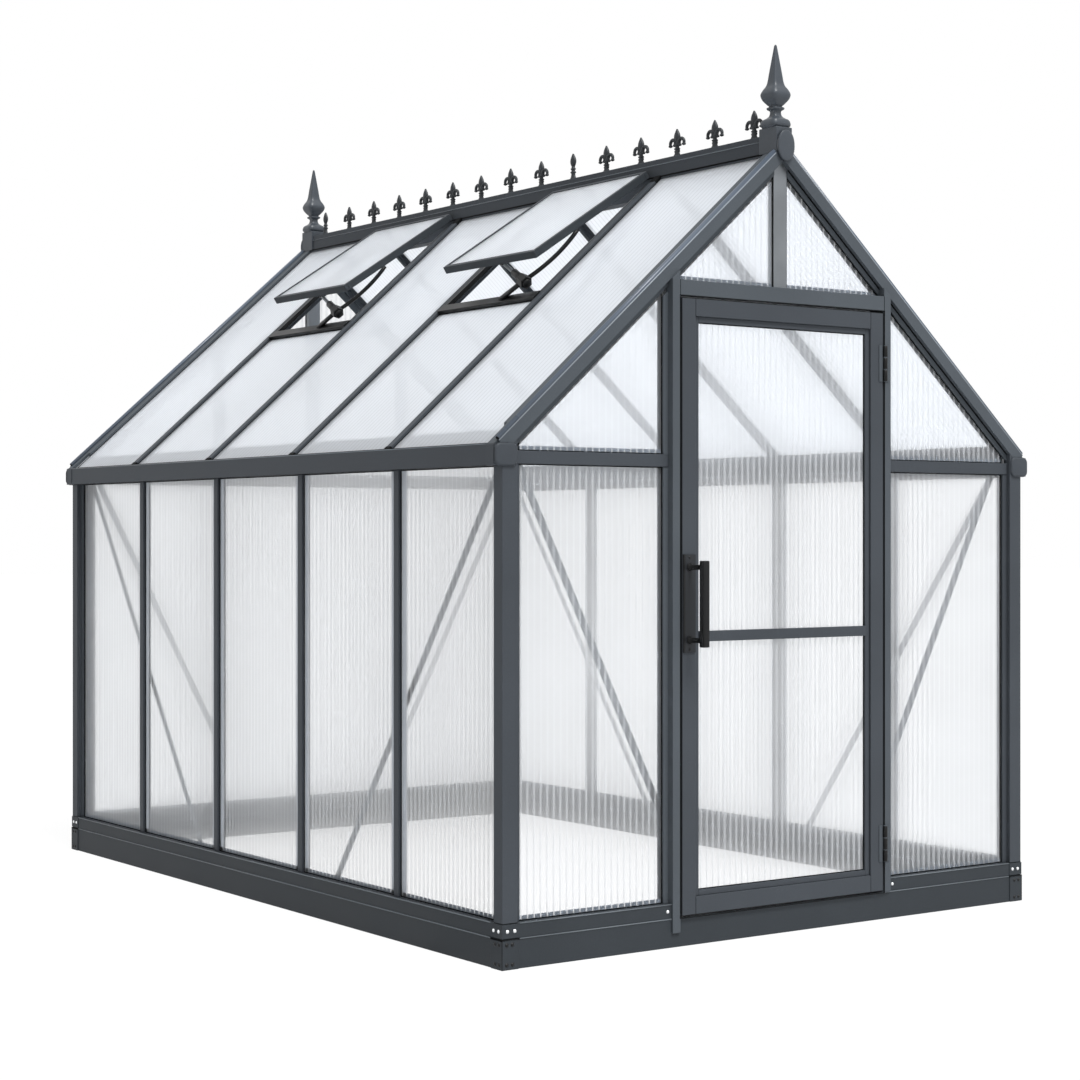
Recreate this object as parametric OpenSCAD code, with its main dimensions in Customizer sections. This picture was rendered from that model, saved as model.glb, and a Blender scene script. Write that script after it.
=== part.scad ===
// Walk-in greenhouse: aluminium glazing bars, twin-wall polycarbonate panes,
// steel base rails, hinged door and two roof vents that stand open.
// X runs across the door gable, Y along the ridge, Z up from the ground.
// The door gable is the low Y end. Millimetres.

/* [Building] */
// Width over the base brackets
width = 2190; // [1900:10:2700]
// Length over the base brackets
length = 3100; // [2500:20:3800]
// Height of the gutter top
eave_h = 1540; // [1300:10:1800]
// Height of the ridge top
ridge_h = 2557; // [2300:10:3000]
// How far the line of the roof's surface meets the gutter top outside the base
eave_out = 20; // [10:1:22]
// Distance up the slope at which the roof panes and bars start
roof_start = 12; // [4:1:20]
// Bays along each side
bay_count = 5; // [4:1:6]

/* [Base] */
// Height of the base rails
base_h = 90; // [60:5:160]
// Thickness of the base rails
base_t = 40; // [30:1:48]
// Width of each corner bracket leg
bracket_w = 60; // [40:1:90]
// Thickness of the corner brackets
bracket_t = 3; // [2:0.5:5]
// Height of the sills that stand on the base
sill_h = 45; // [35:1:70]

/* [Frame] */
// Depth of the aluminium frame from its outer face inward
frame_d = 50; // [46:1:60]
// Corner post width on the gable face
post_w = 54; // [45:1:70]
// Corner post width on the side face
post_d = 46; // [40:1:60]
// Depth from the outer face to the glazing lips
lip_d = 17; // [10:1:20]
// Depth from the outer face to the panes
pane_d = 25; // [22:1:28]
// Thickness of the panes
pane_t = 6; // [4:1:10]
// Thickness of the inner glazing flanges
flange_t = 3; // [2:0.5:4]
// Width of the outer glazing lips
lip_w = 18; // [12:1:24]
// Width of the inner glazing flanges
flange_w = 30; // [20:1:34]
// Depth that a pane sits in a rail
pane_bite = 8; // [5:1:12]
// Clearance at the edge of a pane
pane_gap = 2; // [1:0.5:4]

/* [Glazing bars] */
// Width of a glazing bar's outer head
bar_w = 30; // [24:1:44]
// Width of a glazing bar's web between two panes
bar_web = 8; // [6:1:12]
// How far a bar's head stands out from the panes
bar_proud = 10; // [6:1:14]
// Width of a glazing bar's inner rib
bar_rib = 20; // [14:1:28]

/* [Gutter] */
// Height of the gutter
gutter_h = 64; // [50:1:90]
// How far the gutter stands out from the posts
gutter_out = 25; // [15:1:40]
// Gutter wall
gutter_t = 3; // [2:0.5:5]
// Depth of the eave plate behind the trough
trough_in = 20; // [14:1:22]
// Height that an end cap overlaps the gutter
cap_over = 2; // [1:0.5:4]
// Thickness of an end cap
cap_t = 3; // [2:0.5:4]
// Corner radius of an end cap
cap_r = 8; // [4:1:10]
// Thickness of an end cap's front
cap_front = 8; // [4:1:14]

/* [Gables] */
// Depth of a gable rafter's main face
rafter_w = 40; // [30:1:60]
// Height of the eave rails across the gables
eave_rail_h = 39; // [30:1:60]
// Drop of the eave rails' top below the eave
eave_rail_drop = 19; // [5:1:60]
// Depth from the outer face to an eave rail
rail_d = 14; // [8:1:20]
// Width of the king bars
king_w = 56; // [40:1:80]
// Width of the bars that stand in the rear gable
rear_bar_w = 30; // [24:1:44]

/* [Ridge] */
// Width of the ridge beam
ridge_w = 56; // [40:1:80]
// Height of the ridge beam above the roof
ridge_box_h = 57; // [40:1:80]
// Depth of the ridge beam below the roof
ridge_drop = 70; // [60:1:100]
// Least distance from the last crest figure's middle to a finial block
crest_edge = 40; // [30:1:90]
// Spacing of the crest figures
crest_pitch = 200; // [150:5:220]
// Height of a crest figure
crest_h = 96; // [70:1:130]
// Thickness of a crest figure
crest_t = 10; // [6:1:16]
// Width of a finial block
block_w = 66; // [60:1:90]
// Length of a finial block
block_l = 86; // [60:1:110]
// Height of the finial block's top above the ridge
block_up = 22; // [10:1:40]
// Height of a finial above its block
finial_h = 270; // [200:5:360]
// Radius of the rounded ends of a gable boss
boss_r = 36; // [28:1:42]
// Height of a gable boss
boss_h = 100; // [80:1:130]
// Thickness of a gable boss
boss_t = 14; // [8:1:20]

/* [Door] */
// Width of the door leaf
door_w = 854; // [700:5:950]
// Height of the door leaf
door_h = 1912; // [1700:2:2000]
// Thickness of the door leaf
door_t = 38; // [30:1:40]
// Clearance around the door leaf
door_gap = 5; // [3:0.5:8]
// Width of the stiles and rails
stile_w = 56; // [45:1:80]
// Width of the step inside the stiles and rails
bead_w = 18; // [10:1:24]
// Height of the middle rail
mid_rail_h = 33; // [25:1:60]
// Height of the middle rail's centre above the foot of the leaf
mid_rail_up = 862; // [600:1:1100]
// Width of the door jambs
jamb_w = 30; // [24:1:50]
// How far the jambs stand out from the frame
jamb_out = 8; // [4:1:14]
// Height of the door header
header_h = 50; // [40:1:70]
// How far the hinges turn
door_swing = 120; // [60:5:150]

/* [Door fittings] */
// Height of the handle's centre above the foot of the leaf
handle_up = 965; // [800:5:1100]
// Height of the handle's back plate
plate_h = 304; // [200:2:400]
// Width of the handle's back plate
plate_w = 48; // [30:1:54]
// Thickness of the handle's back plate
plate_t = 4; // [3:0.5:8]
// Height of the grip
grip_h = 266; // [160:2:280]
// Width of the square grip
grip_w = 24; // [16:1:30]
// How far the grip's far side stands off the plate
grip_out = 84; // [60:1:110]
// Diameter of the two posts that hold the grip
grip_post_d = 16; // [10:1:20]
// Length of a hinge
hinge_h = 120; // [80:2:160]
// Radius of a hinge knuckle
knuckle_r = 7; // [5:0.5:9]
// Radius of a hinge pin
pin_r = 3; // [2:0.5:4]
// Distance from the top of the leaf to the upper hinge's centre
hinge_top_in = 168; // [80:1:400]
// Distance from the foot of the leaf to the lower hinge's centre
hinge_low_in = 157; // [80:1:400]

/* [Braces] */
// Width of the flat braces
brace_w = 25; // [18:1:35]
// Thickness of the flat braces
brace_t = 4; // [2:0.5:6]
// Distance along the wall to the foot of a side brace
side_brace_run = 1010; // [600:10:1200]
// Height of the foot of a gable brace
gable_brace_low = 380; // [200:10:700]

/* [Vents] */
// Distance from the ridge down to the vent's lower bar
vent_len = 640; // [450:10:760]
// Width of a vent's lower bar
curb_w = 36; // [25:1:50]
// Length of a vent flap
flap_len = 566; // [400:1:640]
// Gap between a flap and the bars beside it
flap_side = 30; // [22:1:60]
// Thickness of a flap's frame
flap_t = 26; // [18:1:34]
// Width of a flap's frame
flap_w = 16; // [12:1:30]
// Angle that a flap stands open
flap_open = 8.3; // [4:0.1:20]

/* [Hidden] */
$fn = 48;

frame_color = "#484c50";
rail_color = "#43484b";
mill_color = "#a8acaf";
black_color = "#242526";
pane_color = "#e4e7ea";

half_w = width / 2;
fx = half_w - bracket_t;             // outer face of the frame across
fy = length / 2 - bracket_t;         // outer face of the frame along
bay = length / bay_count;
bar_ys = [for (k = [1 : bay_count - 1]) k * bay - length / 2];
big = 3 * length;                    // longer than anything here
eave_rail_top = eave_h - eave_rail_drop;
crest_run = fy - block_l - crest_edge;     // room for figures on each side of the middle
crest_count = 2 * floor(crest_run / crest_pitch) + 1;
sliver = 0.1;

pane_in = pane_d + pane_t;           // depth of the back of a pane
flange_in = pane_in + flange_t;      // depth of the back of a glazing flange
sill_top = base_h + sill_h;
gutter_z = eave_h - gutter_h;
wall_pane_low = sill_top - pane_bite;

run = half_w + eave_out - ridge_w / 2;
rise = ridge_h - ridge_box_h - eave_h;
pitch = atan2(rise, run);
slope_len = norm([run, rise]);
// Height of a plane parallel to the roof: n is its distance above the roof
// surface, and x is how far it is from the middle.
function roof_z(x, n) = eave_h + (half_w + eave_out - abs(x)) * tan(pitch) + n / cos(pitch);
roof_pane_n = -bar_proud;
roof_pane_in = roof_pane_n - pane_t;
roof_flange_in = roof_pane_in - flange_t;
bar_deep = frame_d - pane_d + bar_proud;   // whole depth of a glazing bar
plate_in = -fx + frame_d;                  // inner face of the eave plate

jamb_face = -fy - jamb_out;
jamb_in = door_w / 2 + door_gap;           // inner side of a jamb
jamb_side = jamb_in + jamb_w;              // outer side of a jamb
door_z = base_h + door_gap;
door_top = door_z + door_h;
mid_rail_z = door_z + mid_rail_up;
handle_z = door_z + handle_up;
hinge_top_z = door_top - hinge_top_in;
hinge_low_z = door_z + hinge_low_in;
header_z = door_top + door_gap;
header_top = header_z + header_h;
door_back = jamb_face + door_t;
axis_y = jamb_face - knuckle_r;            // the hinge axis stands before the door
axis_x = door_w / 2 + door_gap / 2;
grip_face = jamb_face - plate_t - grip_out;
shift_y = -(grip_face + fy + boss_t) / 2;   // centres the whole box on the origin

vent_bays = [1, bay_count - 2];            // bays that hold a vent, from the door end
flap_wide = bay - 2 * (bar_web / 2 + flap_side);
curb_s = slope_len - vent_len;             // top edge of a vent's lower bar
hinge_s = slope_len - 8;
flap_n = 4;                                // height of a shut flap over the roof

module rear_too() { children(); mirror([0, 1, 0]) children(); }
module right_too() { children(); mirror([1, 0, 0]) children(); }
module placed() { translate([0, shift_y, 0]) children(); }

// A section drawn in X and Z, run from y0 to y1.
module run_y(y0, y1) {
    translate([0, y1, 0]) rotate([90, 0, 0]) linear_extrude(y1 - y0) children();
}
// A section drawn in Y and Z, run from x0 to x1.
module run_x(x0, x1) {
    translate([x0, 0, 0]) rotate([90, 0, 90]) linear_extrude(x1 - x0) children();
}
module block(lo, hi) { translate(lo) cube(hi - lo); }
// The left roof slope's own frame: X up the slope, Z out of the roof.
module on_slope() {
    translate([-half_w - eave_out, 0, eave_h]) rotate([0, -pitch, 0]) children();
}
// A strip parallel to the left slope, between two depths and two x values.
module slope_strip(x0, x1, n0, n1) {
    polygon([[x0, roof_z(x0, n0)], [x1, roof_z(x1, n0)],
        [x1, roof_z(x1, n1)], [x0, roof_z(x0, n1)]]);
}

// ---- base ----
module base_side_rails() {
    color(rail_color) placed() right_too()
        block([-fx, -fy, 0], [-fx + base_t, fy, base_h]);
}
module base_end_rails() {
    color(rail_color) placed() rear_too()
        block([-fx + base_t, -fy, 0], [fx - base_t, -fy + base_t, base_h]);
}
module base_corner_brackets() {
    color(rail_color) placed() rear_too() right_too() union() {
        block([-half_w, -length / 2, 0], [-half_w + bracket_w, -fy, base_h]);
        block([-half_w, -length / 2, 0], [-fx, -length / 2 + bracket_w, base_h]);
    }
}

// ---- sills: the section has a groove for the panes ----
module sill_section() {
    difference() {
        translate([0, base_h]) square([frame_d, sill_h]);
        translate([pane_d, wall_pane_low - pane_gap]) square([pane_t, sill_h]);
    }
}
module side_sills() {
    color(rail_color) placed() right_too()
        translate([-fx, 0, 0]) run_y(-fy, fy) sill_section();
}
module gable_sills() {
    color(rail_color) placed() {
        right_too() translate([0, -fy, 0]) run_x(-fx + frame_d, -jamb_side) sill_section();
        mirror([0, 1, 0]) translate([0, -fy, 0])
            run_x(-fx + frame_d, fx - frame_d) sill_section();
    }
}

// ---- walls ----
module post_gable_section() {
    translate([post_w - sliver, lip_d]) square([lip_w + sliver, pane_d - lip_d]);
    translate([post_w - sliver, pane_in]) square([flange_w + sliver, flange_t]);
}
module post_side_section() {
    translate([lip_d, post_d - sliver]) square([pane_d - lip_d, lip_w + sliver]);
    translate([pane_in, post_d - sliver]) square([flange_t, flange_w + sliver]);
}
eave_rail_z = eave_rail_top - eave_rail_h;
module corner_posts() {
    color(frame_color) placed() rear_too() right_too() union() {
        translate([-fx, -fy, sill_top]) {
            linear_extrude(eave_rail_z - sill_top) post_gable_section();
            linear_extrude(gutter_z - sill_top) post_side_section();
        }
        run_y(-fy, -fy + post_d) polygon([
            [-fx, sill_top], [-fx + post_w, sill_top],
            [-fx + post_w, roof_z(-fx + post_w, -rafter_w)],
            [-fx + trough_in, roof_z(-fx + trough_in, -rafter_w)],
            [-fx + trough_in, gutter_z], [-fx, gutter_z]]);
    }
}
// A glazing bar's section: u across the bar, v from its head (0) inward.
module bar_head_section(w) {
    translate([-w / 2, -bar_proud]) square([w, bar_proud]);
    translate([-bar_web / 2, roof_pane_in]) square([bar_web, pane_t + sliver]);
}
module bar_back_section() {
    translate([-flange_w, roof_flange_in]) square([2 * flange_w, flange_t]);
    translate([-bar_web / 2, roof_flange_in]) square([bar_web, flange_t + pane_t / 2]);
    translate([-bar_rib / 2, -bar_deep]) square([bar_rib, bar_deep + roof_pane_in]);
}
module bar_section(w) {
    bar_head_section(w);
    bar_back_section();
}
module wall_bars() {
    for (y = bar_ys)
        translate([-fx + pane_d - bar_proud, y, sill_top]) rotate([0, 0, 90])
            linear_extrude(gutter_z - sill_top) bar_section(bar_w);
}
module left_wall_bars() { color(frame_color) placed() wall_bars(); }
module right_wall_bars() { color(frame_color) placed() mirror([1, 0, 0]) wall_bars(); }

// ---- gutters: an open trough outside the eave plate that holds the roof ----
module trough_section() {
    difference() {
        translate([-fx - gutter_out, gutter_z]) square([gutter_out + trough_in, gutter_h]);
        translate([-fx - gutter_out + gutter_t, gutter_z + gutter_t])
            square([gutter_out + trough_in - gutter_t - sliver, gutter_h]);
    }
}
module plate_section() {
    x0 = -fx + trough_in - sliver;
    difference() {
        polygon([[x0, gutter_z], [plate_in, gutter_z],
            [plate_in, roof_z(plate_in, roof_pane_in)], [x0, roof_z(x0, roof_pane_in)]]);
        translate([-fx + pane_d, gutter_z - sliver])
            square([pane_t, pane_bite + pane_gap + sliver]);
    }
}
module gutter() {
    union() {
        run_y(-fy, fy) trough_section();
        run_y(-fy + post_d, fy - post_d) plate_section();
    }
}
module gutter_left() { color(rail_color) placed() gutter(); }
module gutter_right() { color(rail_color) placed() mirror([1, 0, 0]) gutter(); }

module rounded(x0, z0, x1, z1, r) {
    translate([x0 + r, z0]) square([x1 - x0 - 2 * r, z1 - z0]);
    translate([x0, z0 + r]) square([x1 - x0, z1 - z0 - 2 * r]);
    for (x = [x0 + r, x1 - r], z = [z0 + r, z1 - r]) translate([x, z]) circle(r);
}
module cap_outline() {
    rounded(-fx - gutter_out - cap_t, gutter_z - cap_over, -fx + post_w - cap_over,
        eave_h + cap_over, cap_r);
}
module gutter_end_caps() {
    color(rail_color) placed() rear_too() right_too() union() {
        run_y(-fy - cap_front, -fy) cap_outline();
        run_y(-fy - sliver, -fy + post_d) difference() {
            cap_outline();
            translate([-fx - gutter_out, gutter_z]) square([big, gutter_h]);
            translate([-fx, -big]) square([2 * big, 2 * big]);
        }
        run_y(-fy - sliver, -fy + post_d)
            translate([-fx - sliver, eave_h]) square([trough_in / 2 + sliver, cap_over]);
    }
}

// ---- gable rafters ----
miter_gap = 0.4;   // half the joint between two rafters at the ridge
module rafter() {
    x_foot = -fx + trough_in;
    union() {
        run_y(-fy, -fy + post_d) slope_strip(x_foot, -miter_gap, -rafter_w, 0);
        // the tube on the roof edge ends over the gutter
        run_y(-fy + 3, -fy + post_d - 3) slope_strip(-fx + 4, x_foot + 1, -6, 0);
        // seats for the gable panes beside and over the door
        for (span = [[-fx + post_w, -jamb_side], [-jamb_in, -king_w / 2]]) {
            run_y(-fy + lip_d, -fy + pane_d)
                lip_strip(span[0], span[1], rafter_w + lip_w);
            run_y(-fy + pane_in, -fy + flange_in)
                lip_strip(span[0], span[1], rafter_w + flange_w);
        }
        // seats for the roof panes
        run_y(-fy + post_d - sliver, -fy + post_d + lip_w)
            slope_strip(plate_in, -ridge_w / 2, roof_pane_n, 0);
        run_y(-fy + post_d - sliver, -fy + post_d + flange_w)
            slope_strip(plate_in, -ridge_w / 2, roof_flange_in, roof_pane_in);
    }
}
// A strip under a rafter that stops at the rail or header below it.
module lip_strip(x0, x1, deep) {
    floor_z = x0 < -jamb_in - 1 ? eave_rail_top : header_top;
    intersection() {
        slope_strip(x0, x1, -deep, -rafter_w + sliver);
        translate([x0, floor_z]) square([x1 - x0, big]);
    }
}
module front_rafters() { color(frame_color) placed() right_too() rafter(); }
module rear_rafters() {
    color(frame_color) placed() mirror([0, 1, 0]) right_too() rafter();
}

// ---- roof bars ----
module roof_bar(y) {
    union() {
        difference() {
            on_slope() translate([roof_start, y, 0]) rotate([90, 0, 90])
                linear_extrude(slope_len + frame_d) bar_head_section(bar_w);
            translate([-ridge_w / 2, -big / 2, 0]) cube(big);
        }
        difference() {
            on_slope() translate([0, y, 0]) rotate([90, 0, 90])
                linear_extrude(slope_len + frame_d) bar_back_section();
            translate([-ridge_w / 2, -big / 2, 0]) cube(big);
            translate([plate_in - big, -big / 2, 0]) cube(big);
        }
    }
}
module left_roof_bars() { color(frame_color) placed() for (y = bar_ys) roof_bar(y); }
module right_roof_bars() {
    color(frame_color) placed() mirror([1, 0, 0]) for (y = bar_ys) roof_bar(y);
}

// ---- ridge ----
roof_top = ridge_h - ridge_box_h;
module ridge_beam() {
    color(frame_color) placed() union() {
        block([-ridge_w / 2, -fy + block_l, roof_top], [ridge_w / 2, fy - block_l, ridge_h]);
        block([-ridge_w / 2, -fy + frame_d, roof_top - ridge_drop],
            [ridge_w / 2, fy - frame_d, roof_top]);
    }
}
module crest_outline() {
    s = crest_h / 96;
    leaf_r = 40;
    scale([s, s]) {
        polygon([[-15, 0], [15, 0], [6, 12], [5, 50], [-5, 50], [-6, 12]]);
        translate([-13, 37]) square([26, 7]);
        translate([0, 70]) intersection() {
            translate([leaf_r - 10.5, 0]) circle(leaf_r);
            translate([10.5 - leaf_r, 0]) circle(leaf_r);
            square([22, 52], center = true);
        }
    }
}
module crest_curls() {
    s = crest_h / 96;
    scale([s, s]) for (side = [-1, 1]) scale([side, 1]) {
        translate([23, 44]) difference() {
            circle(17);
            circle(9.5);
            translate([-30, -60]) square([60, 60]);
        }
        translate([34, 42]) circle(6.5);
        translate([9, 20]) circle(6);
    }
}
plain_crests = [6, crest_count];   // figures with no side curls, counted from the door
module ridge_cresting() {
    color(frame_color) placed() for (k = [1 : crest_count]) {
        y = (k - (crest_count + 1) / 2) * crest_pitch;
        translate([-crest_t / 2, y, ridge_h]) rotate([90, 0, 90])
            linear_extrude(crest_t) union() {
                crest_outline();
                if (len(search(k, plain_crests)) == 0) crest_curls();
            }
    }
}
block_top = ridge_h + block_up;
module finial_blocks() {
    color(frame_color) placed() rear_too() difference() {
        block([-block_w / 2, -fy, roof_top - block_w], [block_w / 2, -fy + block_l, block_top]);
        right_too() run_y(-fy - 1, -fy + block_l + 1)
            polygon([[-block_w, roof_z(-block_w, 0)], [0, roof_z(0, 0)], [0, 0],
                [-block_w, 0]]);
    }
}
// Half the side of the square finial, at shares of its height.
finial_form = [[33, 0], [36, 0.03], [36, 0.07], [30, 0.11], [17, 0.14], [13, 0.18],
    [13, 0.215], [20, 0.23], [20, 0.265], [16, 0.285], [27, 0.335], [36, 0.39],
    [36, 0.42], [31, 0.46], [24, 0.51], [20, 0.57], [12, 0.78], [3, 0.985], [0, 1]];
module finials() {
    color(frame_color) placed() rear_too()
        translate([0, -fy + block_l / 2, block_top]) rotate([0, 0, 45])
            rotate_extrude($fn = 4) polygon(concat([[0, 0]],
                [for (p = finial_form) [p[0] * sqrt(2), p[1] * finial_h]]));
}
module gable_bosses() {
    z0 = block_top - boss_h - block_up / 2;
    color(frame_color) placed() rear_too() run_y(-fy - boss_t, -fy)
        rounded(-boss_r, z0, boss_r, z0 + boss_h, boss_r - 1);
}

// ---- gable rails and bars ----
module rail_section(face, z0, z1) {
    difference() {
        translate([face, z0]) square([frame_d - face, z1 - z0]);
        for (z = [z0 - 1, z1 - pane_bite - pane_gap])
            translate([pane_d, z]) square([pane_t, pane_bite + pane_gap + 1]);
    }
}
// An eave rail from a post to x1; the eave plate runs on behind the post.
module side_eave_rail(x1) {
    difference() {
        translate([0, -fy, 0])
            run_x(-fx + post_w, x1) rail_section(rail_d, eave_rail_z, eave_rail_top);
        block([-fx, -fy + post_d, 0], [plate_in, 0, ridge_h]);
    }
}
module gable_eave_rails() {
    z0 = eave_rail_z;
    color(frame_color) placed() {
        right_too() side_eave_rail(-jamb_side);
        mirror([0, 1, 0]) {
            right_too() side_eave_rail(-rear_x - bar_web / 2);
            translate([0, -fy, 0]) run_x(-rear_x + bar_web / 2, rear_x - bar_web / 2)
                rail_section(rail_d, z0, eave_rail_top);
        }
    }
}
module jamb_section() {
    translate([-jamb_side, -jamb_out]) square([jamb_w, jamb_out + frame_d]);
    translate([-jamb_side - lip_w, lip_d]) square([lip_w + sliver, pane_d - lip_d]);
    translate([-jamb_side - flange_w, pane_in]) square([flange_w + sliver, flange_t]);
}
stop_w = 14;   // how far the door stop laps behind the leaf
module door_jambs() {
    color(frame_color) placed() {
        right_too() difference() {
            union() {
                translate([0, -fy, sill_top])
                    linear_extrude(eave_rail_z - sill_top) jamb_section();
                block([-jamb_side, jamb_face, base_h],
                    [-jamb_in, -fy + frame_d, ridge_h]);
                translate([0, -fy, eave_rail_top]) linear_extrude(ridge_h - eave_rail_top)
                    jamb_section();
                block([-jamb_in - sliver, door_back + door_gap, base_h],
                    [-jamb_in + stop_w, -fy + frame_d, header_z]);
            }
            jamb_trim();
        }
        // the left jamb laps down over the base rail
        block([-jamb_side, jamb_face, base_h / 2], [-jamb_in, -fy, base_h + sliver]);
    }
}
// Everything above the left rafter's underside.
module rafter_void() {
    run_y(-length, 0) polygon([[-half_w, roof_z(-half_w, -rafter_w)],
        [0, roof_z(0, -rafter_w)], [0, big], [-half_w, big]]);
}
// The same, and the rafter's glazing lips beside the jamb.
module jamb_trim() {
    rafter_void();
    run_y(-fy + lip_d - 1, -fy + flange_in + 1) polygon([
        [-half_w, roof_z(-half_w, -rafter_w - flange_w)],
        [-jamb_side, roof_z(-jamb_side, -rafter_w - flange_w)],
        [-jamb_side, big], [-half_w, big]]);
}
module door_header() {
    color(frame_color) placed() union() {
        translate([0, -fy, 0]) run_x(-jamb_in, jamb_in) difference() {
            translate([-jamb_out, header_z]) square([jamb_out + frame_d, header_h]);
            translate([pane_d, header_top - pane_bite - pane_gap])
                square([pane_t, pane_bite + pane_gap + 1]);
        }
    }
}
king_deep = 20;
module king_bar(z0) {
    color(mill_color) difference() {
        translate([0, -fy, z0]) linear_extrude(ridge_h - z0) union() {
            translate([-king_w / 2, king_deep]) square([king_w, pane_d - king_deep]);
            translate([-bar_web / 2, pane_d - sliver])
                square([bar_web, pane_t + 2 * sliver]);
            translate([-king_w / 2, pane_in]) square([king_w, frame_d - pane_in]);
        }
        right_too() rafter_void();
    }
}
module king_bars() {
    placed() {
        king_bar(header_top);
        mirror([0, 1, 0]) king_bar(eave_rail_top);
    }
}
rear_x = jamb_side - jamb_w / 2;   // the rear bars stand where the door jambs do
module rear_gable_bars() {
    color(frame_color) placed() mirror([0, 1, 0]) right_too() difference() {
        translate([-rear_x, -fy + pane_d - bar_proud, sill_top]) mirror([0, 1, 0])
            linear_extrude(ridge_h - sill_top) bar_section(rear_bar_w);
        rafter_void();
        run_y(-fy + pane_in - sliver, -fy + flange_in + sliver)
            for (span = [[-half_w, -jamb_side], [-jamb_in, 0]])
                slope_strip(span[0], span[1], -rafter_w - flange_w, half_w);
        // the eave rail passes beside the web
        for (side = [-1, 1])
            translate([-rear_x + side * (bar_web / 2 + half_w), -fy + frame_d / 2,
                eave_rail_top - eave_rail_h / 2])
                cube([2 * half_w, 2 * frame_d, eave_rail_h], center = true);
    }
}

// ---- braces: flat strips inside the panes ----
module flat_brace(a, b) {
    // a strip in the X-Z plane between two points, cut level at both ends
    half = brace_w / 2 * norm(b - a) / abs(b[1] - a[1]);
    polygon([[a[0] - half, a[1]], [a[0] + half, a[1]], [b[0] + half, b[1]],
        [b[0] - half, b[1]]]);
}
module wall_braces() {
    head = -fy + frame_d - brace_t + brace_w;
    color(mill_color) placed() rear_too() right_too()
        translate([-fx + frame_d, 0, 0]) rotate([0, 0, 90]) mirror([0, 1, 0])
            run_y(0, brace_t) flat_brace([head, gutter_z + brace_w], [head + side_brace_run, base_h]);
}
module gable_braces() {
    x_top = -fx + post_w + brace_w;
    color(mill_color) placed() rear_too() right_too()
        run_y(-fy + frame_d, -fy + frame_d + brace_t)
            flat_brace([x_top, eave_rail_z + brace_w], [-rear_x, gable_brace_low]);
}

// ---- panes ----
pane_edge = bar_web / 2 + pane_gap;
bay_lows = concat([-fy + post_d + pane_gap], [for (y = bar_ys) y + pane_edge]);
bay_highs = concat([for (y = bar_ys) y - pane_edge], [fy - post_d - pane_gap]);
module wall_panes() {
    for (k = [0 : bay_count - 1])
        block([-fx + pane_d, bay_lows[k], wall_pane_low],
            [-fx + pane_in, bay_highs[k], gutter_z + pane_bite]);
}
module left_wall_panes() { color(pane_color) placed() wall_panes(); }
module right_wall_panes() { color(pane_color) placed() mirror([1, 0, 0]) wall_panes(); }

// A gable pane between two x values, from z0 up to the rafter's lips.
module gable_pane(x0, x1, z0) {
    top = -rafter_w - pane_gap;
    run_y(-fy + pane_d, -fy + pane_in) polygon([[x0, z0], [x1, z0],
        [x1, roof_z(x1, top)], [x0, roof_z(x0, top)]]);
}
module gable_low_pane(x0, x1) {
    block([x0, -fy + pane_d, wall_pane_low],
        [x1, -fy + pane_in, eave_rail_z + pane_bite]);
}
side_pane_x = -fx + max(post_w, frame_d) + pane_gap;
module front_gable_panes() {
    color(pane_color) placed() right_too() {
        gable_low_pane(side_pane_x, -jamb_side - pane_gap);
        gable_pane(side_pane_x, -jamb_side - pane_gap, eave_rail_top - pane_bite);
        gable_pane(-jamb_in + pane_gap, -pane_edge, header_top - pane_bite);
    }
}
module rear_gable_panes() {
    color(pane_color) placed() mirror([0, 1, 0]) {
        right_too() {
            gable_low_pane(side_pane_x, -rear_x - pane_edge);
            gable_pane(side_pane_x, -rear_x - pane_edge, eave_rail_top - pane_bite);
            gable_pane(-rear_x + pane_edge, -pane_edge, eave_rail_top - pane_bite);
        }
        gable_low_pane(-rear_x + pane_edge, rear_x - pane_edge);
    }
}

// A roof pane in one bay, from the gutter up to s1 on the slope or to the ridge.
module roof_pane(k, s1) {
    y0 = bay_lows[k];
    difference() {
        on_slope() translate([roof_start, y0, roof_pane_in])
            cube([s1 - roof_start, bay_highs[k] - y0, pane_t]);
        translate([-ridge_w / 2, -big / 2, 0]) cube(big);
    }
}
module left_roof_panes() {
    color(pane_color) placed() for (k = [0 : bay_count - 1])
        roof_pane(k, len(search(k, vent_bays)) > 0 ? curb_s - curb_w : slope_len + frame_d);
}
module right_roof_panes() {
    color(pane_color) placed() mirror([1, 0, 0])
        for (k = [0 : bay_count - 1]) roof_pane(k, slope_len + frame_d);
}

// ---- vents ----
curb_side = 12;
curb_up = 5;
module each_vent() {
    for (k = vent_bays) translate([0, k * bay + bay / 2 - length / 2, 0]) on_slope() children();
}
half_bay = bay / 2 - bar_w / 2;    // clear half width between two bars' heads
module vent_curbs() {
    color(black_color) placed() each_vent() union() {
        translate([curb_s - curb_w, -half_bay, roof_pane_in])
            cube([curb_w, 2 * half_bay, curb_up - roof_pane_in]);
        for (side = [-1, 1])
            translate([curb_s - sliver, side * (half_bay - curb_side / 2), roof_pane_in / 2])
                translate([0, -curb_side / 2, roof_pane_in / 2])
                cube([vent_len - frame_d, curb_side, -roof_pane_in]);
    }
}
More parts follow.
